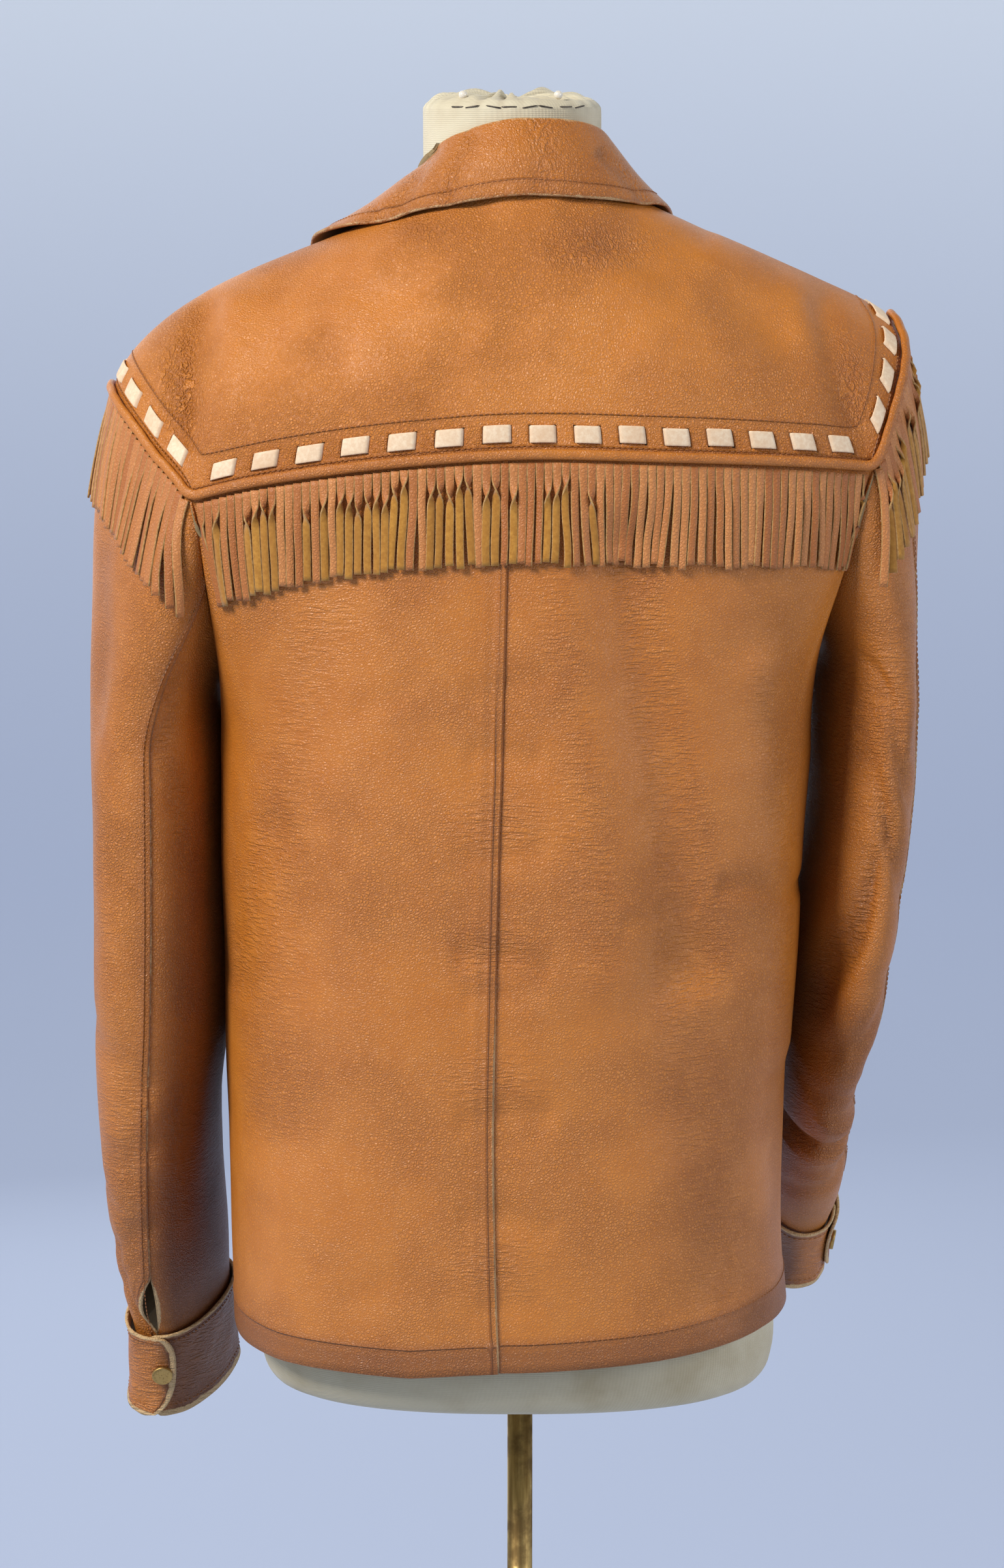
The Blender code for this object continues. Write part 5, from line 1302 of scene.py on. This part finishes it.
def add_fringe(name, node, grid, normal, first, last, count, lengths, stand, straight, turned, seed):
    """Strands side by side: strips of eight-sided rings down the surface, lifted, swaying and twisting."""
    rng = np.random.default_rng(seed)
    pitch = (last - first) / count
    centre = first + pitch * (np.arange(count) + 0.5)
    length = np.interp(np.arange(count), np.linspace(0, count - 1, len(lengths)), lengths) / 1000
    length = length * (1 + rng.uniform(-0.035, 0.02, count))
    down_share = np.linspace(0, 1, STRAND_RINGS)[None]
    place, row = hanging_paths(grid, centre, STRAND_ROOT, length, straight, STRAND_RINGS)
    hangs = np.clip((down_share - 0.16) / 0.84, 0, 1)
    drift = eased(rng.normal(0, 1.0, (count, 1)), 3)[:, 0] * 0.55 + rng.normal(0, 0.13, count)
    sway = drift[:, None] * hangs**1.3 + rng.normal(0, 0.05, count)[:, None] * np.sin(hangs * 6)
    turned_share = np.interp(np.arange(count), np.linspace(0, count - 1, len(turned)), turned)
    clump = 0.5 + 0.5 * np.sin(np.arange(count) * 0.83 + seed) * np.sin(np.arange(count) * 0.31 + 2.0)
    is_turned = 0.55 * clump + 0.45 * rng.uniform(0, 1, count) < turned_share
    turns = np.where(is_turned, np.pi * rng.uniform(0.93, 1.06, count), rng.normal(0, 0.16, count))
    turns = turns * np.where(rng.uniform(0, 1, count) < 0.5, -1, 1)
    twist_at = rng.uniform(0.16, 0.38, count)[:, None]
    twist = turns[:, None] / (1 + np.exp((twist_at - down_share) / 0.035))
    lift = 0.0015 + stand * (0.35 + 0.65 * rng.uniform(0, 1, count)[:, None]) * hangs**0.8
    lift = lift + 0.0016 * np.abs(np.sin(twist))
    place = place + sway * pitch
    place = np.clip(place, 0, grid.shape[1] - 1.01)
    middle = on_surface(grid, normal, place, row, lift)
    side_point = on_surface(grid, normal, np.clip(place + 0.1, 0, grid.shape[1] - 1.0), row, lift)
    ahead = unit(np.gradient(middle, axis=1))
    across = unit(side_point - middle)
    across = unit(across - ahead * np.sum(across * ahead, axis=-1, keepdims=True))
    out = unit(np.cross(across, ahead))
    surface_out = on_surface(grid, normal, place, row, lift + 0.001) - middle
    out = out * np.where(np.sum(out * surface_out, axis=-1) < 0, -1, 1)[..., None]
    turned_across = across * np.cos(twist)[..., None] + out * np.sin(twist)[..., None]
    turned_out = out * np.cos(twist)[..., None] - across * np.sin(twist)[..., None]
    root = middle[:, 0]
    pitch_length = np.linalg.norm(np.gradient(root, axis=0), axis=1)[:, None]
    narrow = 1 - 0.30 * np.abs(np.sin(twist))
    half_width = pitch_length * (0.5 - 0.035 * np.clip(down_share / 0.2, 0, 1) - 0.02 * down_share) * narrow
    half_width = half_width * (1 + rng.normal(0, 0.04, count))[:, None]
    wide, thick = STRAND_CORNERS[:, 0, None], STRAND_CORNERS[:, 1, None]
    rings = (middle[:, :, None] + turned_across[:, :, None] * (wide * half_width[:, :, None, None])
             + turned_out[:, :, None] * (thick * STRAND_THICK / 2))
    sides = len(STRAND_CORNERS)
    ring_size = STRAND_RINGS * sides
    one = grid_faces(STRAND_RINGS, sides, wrap=True)
    caps = np.array([(3, 2, 1, 0), (7, 4, 3, 0), (7, 6, 5, 4)])
    end = ring_size - sides
    caps = np.concatenate([caps, caps[:, ::-1] + end])
    per_strand = np.concatenate([one, caps])
    faces = (per_strand[None] + (np.arange(count) * ring_size)[:, None, None]).reshape(-1, 4)
    round_slots = [CUT_SLOT, GRAIN_SLOT, CUT_SLOT, CUT_SLOT, CUT_SLOT, FLESH_SLOT, CUT_SLOT, CUT_SLOT]
    strand_slots = np.concatenate([np.tile(round_slots, STRAND_RINGS - 1), np.full(len(caps), CUT_SLOT)])
    tone = np.repeat(rng.uniform(0, 1, count), ring_size)
    piece = add_mesh(name, rings.reshape(-1, 3), faces, FRINGE_MATERIALS, np.tile(strand_slots, count),
                     tone=tone)
    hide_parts(node)
    return piece


# Lengths in mm and shares of turned strands, each spread evenly from one end of a strip to the other
BACK_STRANDS, ARM_STRANDS = 80, 44
BACK_LENGTHS, ARM_LENGTHS = (68, 63, 62.5, 63.5, 63.5, 62, 60), (62, 64, 66, 67, 66, 70)
BACK_TURNED = (0.52, 0.60, 0.70, 0.44, 0.10, 0.02, 0.05)
ARM_TURNED = {"left": (0.05, 0.10, 0.14, 0.16), "right": (0.20, 0.45, 0.60, 0.55)}
ARM_SEEDS = {"left": 31, "right": 41}
fringes = [add_fringe("fringe_back_strands", "fringe_back", body, body_normal, B1 + 0.35 * FINE,
                      B2 - 0.25 * FINE, BACK_STRANDS, BACK_LENGTHS, 0.0020, 1.0, BACK_TURNED, 21)]
for side in ("left", "right"):
    grid, normal = sleeves[side][:2]
    open_grid = np.concatenate([grid, grid[:, :1]], axis=1)
    open_normal = np.concatenate([normal, normal[:, :1]], axis=1)
    fringes.append(add_fringe(
        f"fringe_arm_{side}_strands", f"fringe_arm_{side}", open_grid, open_normal, 0.3 * FINE,
        (ARM_CELLS - 0.05) * FINE, ARM_STRANDS, ARM_LENGTHS, 0.0042, 0.85, ARM_TURNED[side], ARM_SEEDS[side]))
LEFT_OF_CUTS = 0.85
for piece, size, under in zip(fringes, ((0.420, 0.062), (0.240, 0.066), (0.240, 0.066)), (
        ["panel_back_left", "panel_back_right"], ["sleeve_left_outer_skin"], ["sleeve_right_outer_skin"])):
    size[0] * size[1] * LEFT_OF_CUTS

# Stitching
# Tan waxed thread in stitches about 3 mm long, sunk a little in the leather: along the yoke's
# band and edge, the centre back, the hem, the collar, the rear sleeve seams and the cuffs.
STITCH_PITCH, STITCH_LONG, STITCH_WIDE = 0.0034, 0.0026, 0.0008
LINE_LIFT, BACK_LIFT, SLEEVE_LIFT = 0.0001, 0.0008, 0.0009
LEAF_FROM = 4


def thread():
    paint = Paint("tan_thread", Roughness=0.7)
    place = paint.place()
    strands = paint.noise(place, 1500.0, 3.0)
    colour = paint.mixed(strands, (0.22, 0.070, 0.016, 1), (0.44, 0.17, 0.050, 1))
    return paint.finish(colour, None, strands, 0.0002, 0.6)


thread_material = thread()


def add_stitches(name, path, normal):
    """Stitches at even steps along a path: each a small ellipsoid, rings of six points along its length."""
    steps = np.linalg.norm(np.diff(path, axis=0), axis=1)
    far = np.concatenate([[0], np.cumsum(steps)])
    at = np.arange(STITCH_PITCH, far[-1] - STITCH_PITCH, STITCH_PITCH)
    centre = np.stack([np.interp(at, far, path[:, k]) for k in range(3)], axis=-1)
    out = unit(np.stack([np.interp(at, far, normal[:, k]) for k in range(3)], axis=-1))
    ahead = np.stack([np.interp(at, far, np.gradient(path[:, k])) for k in range(3)], axis=-1)
    ahead = unit(ahead - out * np.sum(ahead * out, axis=-1, keepdims=True))
    across = np.cross(ahead, out)
    run_at = np.array([-1, -0.72, 0.0, 0.72, 1]) * STITCH_LONG / 2
    swell_at = np.array([0.02, 0.75, 1.0, 0.75, 0.02]) * STITCH_WIDE / 2
    turn = np.arange(6) * np.pi / 3
    rings = (centre[:, None, None] + ahead[:, None, None] * run_at[None, :, None, None]
             + across[:, None, None] * (swell_at[:, None] * np.cos(turn))[None, ..., None]
             + out[:, None, None] * (swell_at[:, None] * np.sin(turn))[None, ..., None])
    one = grid_faces(5, 6, wrap=True)
    faces = (one[None] + (np.arange(len(at)) * 30)[:, None, None]).reshape(-1, 4)
    piece = add_mesh(name, rings.reshape(-1, 3), faces, [thread_material])


def line_on(grid, normal, distance, wanted, first, last):
    """Path where a grid's distance, growing up the rows or down them, has a wanted value in each column."""
    rows = []
    for j in range(first, last):
        order = np.argsort(distance[:, j])
        rows.append(np.interp(wanted, distance[order, j], np.arange(len(order))[order]))
    lift = np.full(last - first, LINE_LIFT)
    return on_surface(grid, normal, np.arange(first, last).astype(float), np.array(rows), lift)


def seam_line(grid, normal, column, lift):
    """Path down a lapped seam, the stitch line's distance beside a column, lifted by the lap."""
    spacing = np.linalg.norm(grid[:, column] - grid[:, column - 1], axis=1) * 1000
    return on_surface(grid, normal, column - SEAM_STITCH / spacing, np.arange(len(grid)).astype(float),
                      np.full(len(grid), lift))


for name, wanted in (("stitch_band", BAND_STITCH), ("stitch_edge", EDGE_STITCH)):
    path = line_on(yoke, yoke_normal, mm_from_edge, wanted, 0, len(edge_line) - 1)
    add_stitches(name, path, yoke_normal[40, :-1])
hem_path = line_on(body, body_normal, from_hem, HEM_STITCH, 0, len(top) - 1)
add_stitches("stitch_hem", hem_path, body_normal[-5, :-1])
centre_path = seam_line(body, body_normal, CENTRE_BACK, BACK_LIFT)
add_stitches("stitch_centre_back", centre_path, body_normal[:, CENTRE_BACK])
leaf_path = line_on(collar_curve, collar_normal, to_edge, LEAF_STITCH, LEAF_FROM, COLLAR_STEPS - LEAF_FROM)
add_stitches("stitch_collar", leaf_path, collar_normal[-8, LEAF_FROM:COLLAR_STEPS - LEAF_FROM])
for side in ("left", "right"):
    grid, normal, outer, out = sleeves[side]
    end = (ARM_CELLS + REAR_SEAM[side][2]) * FINE
    seam_path = seam_line(grid, normal, end, SLEEVE_LIFT)
    add_stitches(f"stitch_sleeve_{side}", seam_path[6:-3], normal[6:-3, end])
    for part, row in (("top", 4), ("low", len(outer) - 5)):
        add_stitches(f"stitch_cuff_{side}_{part}", outer[row, 8:-8], out[row, 8:-8])

# Snaps
# Pressed brass caps 13 mm across, a low dome with a rolled rim, one on each cuff and six down
# the front, dulled by wear. They stay fastened, as in the photograph.
SNAP_RADIUS, SNAP_HEIGHT, SNAP_STEPS = 0.0065, 0.0026, 40
SNAP_RADII = np.array([0, 1, 1.0, 0.985, 0.95, 0.90, 0.87, 0.6, 0.35, 0.0]) * SNAP_RADIUS
SNAP_RISES = np.array([0, 0, 0.55, 0.80, 0.92, 0.93, 0.87, 0.90, 0.92, 0.93]) * SNAP_HEIGHT


def dull_brass():
    paint = Paint("snap_brass", Metallic=1.0)
    place = paint.place()
    specks = paint.step(paint.noise(place, 900.0, 3.0), 0.55, 0.70)
    colour = paint.mixed(specks * 0.5, (0.50, 0.32, 0.11, 1), (0.16, 0.085, 0.03, 1))
    return paint.finish(colour, 0.42 + 0.2 * specks, specks, 0.0001, 0.4)


snap_brass = dull_brass()


def add_snap(name, node):
    """A cap turned about the node's own short axis: rim, groove and dome, from the node's place."""
    source = frame["nodes"][node]
    source = bpy.data.objects[source] if isinstance(source, str) else source
    points = np.array([vertex.co[:] for vertex in source.data.vertices])
    centre = points.mean(axis=0)
    axis = np.linalg.svd(points - centre, full_matrices=False)[2][2]
    away = centre - np.array([0.0, 0.0, centre[2]])
    arm = next((side for side in ("left", "right") if node.endswith(side)), None)
    if arm:
        away = centre - sleeves[arm][2].mean(axis=(0, 1))
    axis = axis * (1 if np.dot(axis, away) > 0 else -1)
    low = ((points - centre) @ axis).min()
    seat = centre + axis * low
    a = unit(np.cross(axis, [0.0, 0.0, 1.0]))
    b = np.cross(axis, a)
    turn = np.arange(SNAP_STEPS) * 2 * np.pi / SNAP_STEPS
    ring = np.cos(turn)[:, None] * a + np.sin(turn)[:, None] * b
    points = seat + ring[None] * SNAP_RADII[:, None, None] + axis * SNAP_RISES[:, None, None]
    faces = grid_faces(len(SNAP_RADII), SNAP_STEPS, wrap=True)
    piece = add_mesh(name, points.reshape(-1, 3), faces, [snap_brass])
    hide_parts(node)


for node in ("snap_cuff_left", "snap_cuff_right", *(f"snap_front_{k}" for k in range(1, 7))):
    add_snap(f"{node}_cap", node)

# Studio
# A pale blue paper bowl that runs from the floor up into walls on every side, one large soft
# light up on the left, a weaker one on the right, and the camera behind the jacket.
CAMERA_AT = (0.0111, 2.75, NECK_TOP)
CAMERA_TILT = 8.5
BOWL_FLAT, BOWL_BEND, BOWL_HIGH, BOWL_STEPS = 6.0, 1.6, 6.5, 96

paper = Paint("blue_paper", Roughness=0.95, Emission_Strength=1.0)
paper_place = paper.place()
uneven = paper.noise(paper_place, 0.6, 1.0)
pale_blue = paper.mixed(uneven, (0.340, 0.395, 0.500, 1), (0.360, 0.415, 0.520, 1))
paper.finish(pale_blue)
paper_high = paper.node("ShaderNodeSeparateXYZ", {}, {0: paper_place}, 2)
paper_back = paper.node("ShaderNodeSeparateXYZ", {}, {0: paper_place}, 1)
# Painted light: the paper glows, brighter higher up and dimmer on the camera's side, and so lights the jacket
# as well
glow = paper.mixed(paper.step(paper_high, -0.5, 4.0), (0.150, 0.170, 0.250, 1), (0.640, 0.670, 0.640, 1))
glow = paper.mixed(paper.step(paper_back, -1.0, 4.0), glow, (0.090, 0.105, 0.130, 1))
paper.tree.links.new(glow.socket, paper.shader.inputs["Emission Color"])
# Clear from outside, so that a camera beyond one wall sees the jacket against the far wall
outside = paper.node("ShaderNodeNewGeometry", {}, {}, "Backfacing")
clear = paper.node("ShaderNodeBsdfTransparent", {}, {})
seen = paper.node("ShaderNodeMixShader", {}, {0: outside, 2: clear})
paper.tree.links.new(paper.shader.outputs[0], seen.socket.node.inputs[1])
paper.tree.links.new(seen.socket, paper.tree.nodes["Material Output"].inputs["Surface"])
bend = np.linspace(0, np.pi / 2, 24)
bowl_radii = np.concatenate([[0.0, 2.0], BOWL_FLAT + BOWL_BEND * np.sin(bend), [BOWL_FLAT + BOWL_BEND]])
bowl_rises = np.concatenate([[0.0, 0.0], BOWL_BEND - BOWL_BEND * np.cos(bend), [BOWL_HIGH]])
turn = np.arange(BOWL_STEPS) * 2 * np.pi / BOWL_STEPS
bowl_points = np.stack([bowl_radii[:, None] * np.cos(turn), bowl_radii[:, None] * np.sin(turn),
                        np.broadcast_to(bowl_rises[:, None], (len(bowl_radii), BOWL_STEPS))], axis=-1)
bowl_faces = grid_faces(len(bowl_radii), BOWL_STEPS, wrap=True)[:, ::-1]
bowl_mesh = bpy.data.meshes.new("paper_bowl")
bowl_mesh.from_pydata(bowl_points.reshape(-1, 3), [], bowl_faces.tolist())
bowl_mesh.materials.append(paper.material)
bowl_mesh.polygons.foreach_set("use_smooth", np.ones(len(bowl_mesh.polygons), bool))
bowl = bpy.data.objects.new("paper_bowl", bowl_mesh)
bpy.context.scene.collection.objects.link(bowl)


def add_light(name, at, toward, size, power, colour):
    """A square soft light at one point, turned to face another."""
    light = bpy.data.lights.new(name, "AREA")
    light.shape, light.size, light.energy, light.color = "SQUARE", size, power, colour
    lamp = bpy.data.objects.new(name, light)
    bpy.context.scene.collection.objects.link(lamp)
    lamp.location = at
    aim = unit(np.array(toward, float) - np.array(at, float))
    pitch = np.arccos(-aim[2])
    lamp.rotation_euler = (pitch, 0, np.arctan2(-aim[0], aim[1]))


add_light("key", (2.5, 2.2, 3.7), (0, 0, 1.15), 1.3, 190, (1.0, 0.97, 0.93))
add_light("fill", (-3.2, 1.7, 2.1), (0, 0, 1.1), 2.0, 46, (0.98, 0.98, 1.0))
add_light("front_light", (0.8, -3.2, 1.7), (0, 0, 1.1), 2.4, 16, (1.0, 0.98, 0.96))
world_shader = bpy.data.worlds.new("studio")
world_shader.use_nodes = True
sky = world_shader.node_tree.nodes["Background"]
sky.inputs["Color"].default_value = (0.92, 0.95, 1.0, 1)
sky.inputs["Strength"].default_value = 0.12
bpy.context.scene.world = world_shader

camera_data = bpy.data.cameras.new("camera")
camera_data.lens, camera_data.sensor_width = 105, 36
camera = bpy.data.objects.new("camera", camera_data)
bpy.context.scene.collection.objects.link(camera)
camera.location = CAMERA_AT
camera.rotation_euler = (np.radians(90 - CAMERA_TILT), 0, np.pi)
bpy.context.scene.camera = camera
bpy.context.scene.view_settings.view_transform = "Standard"
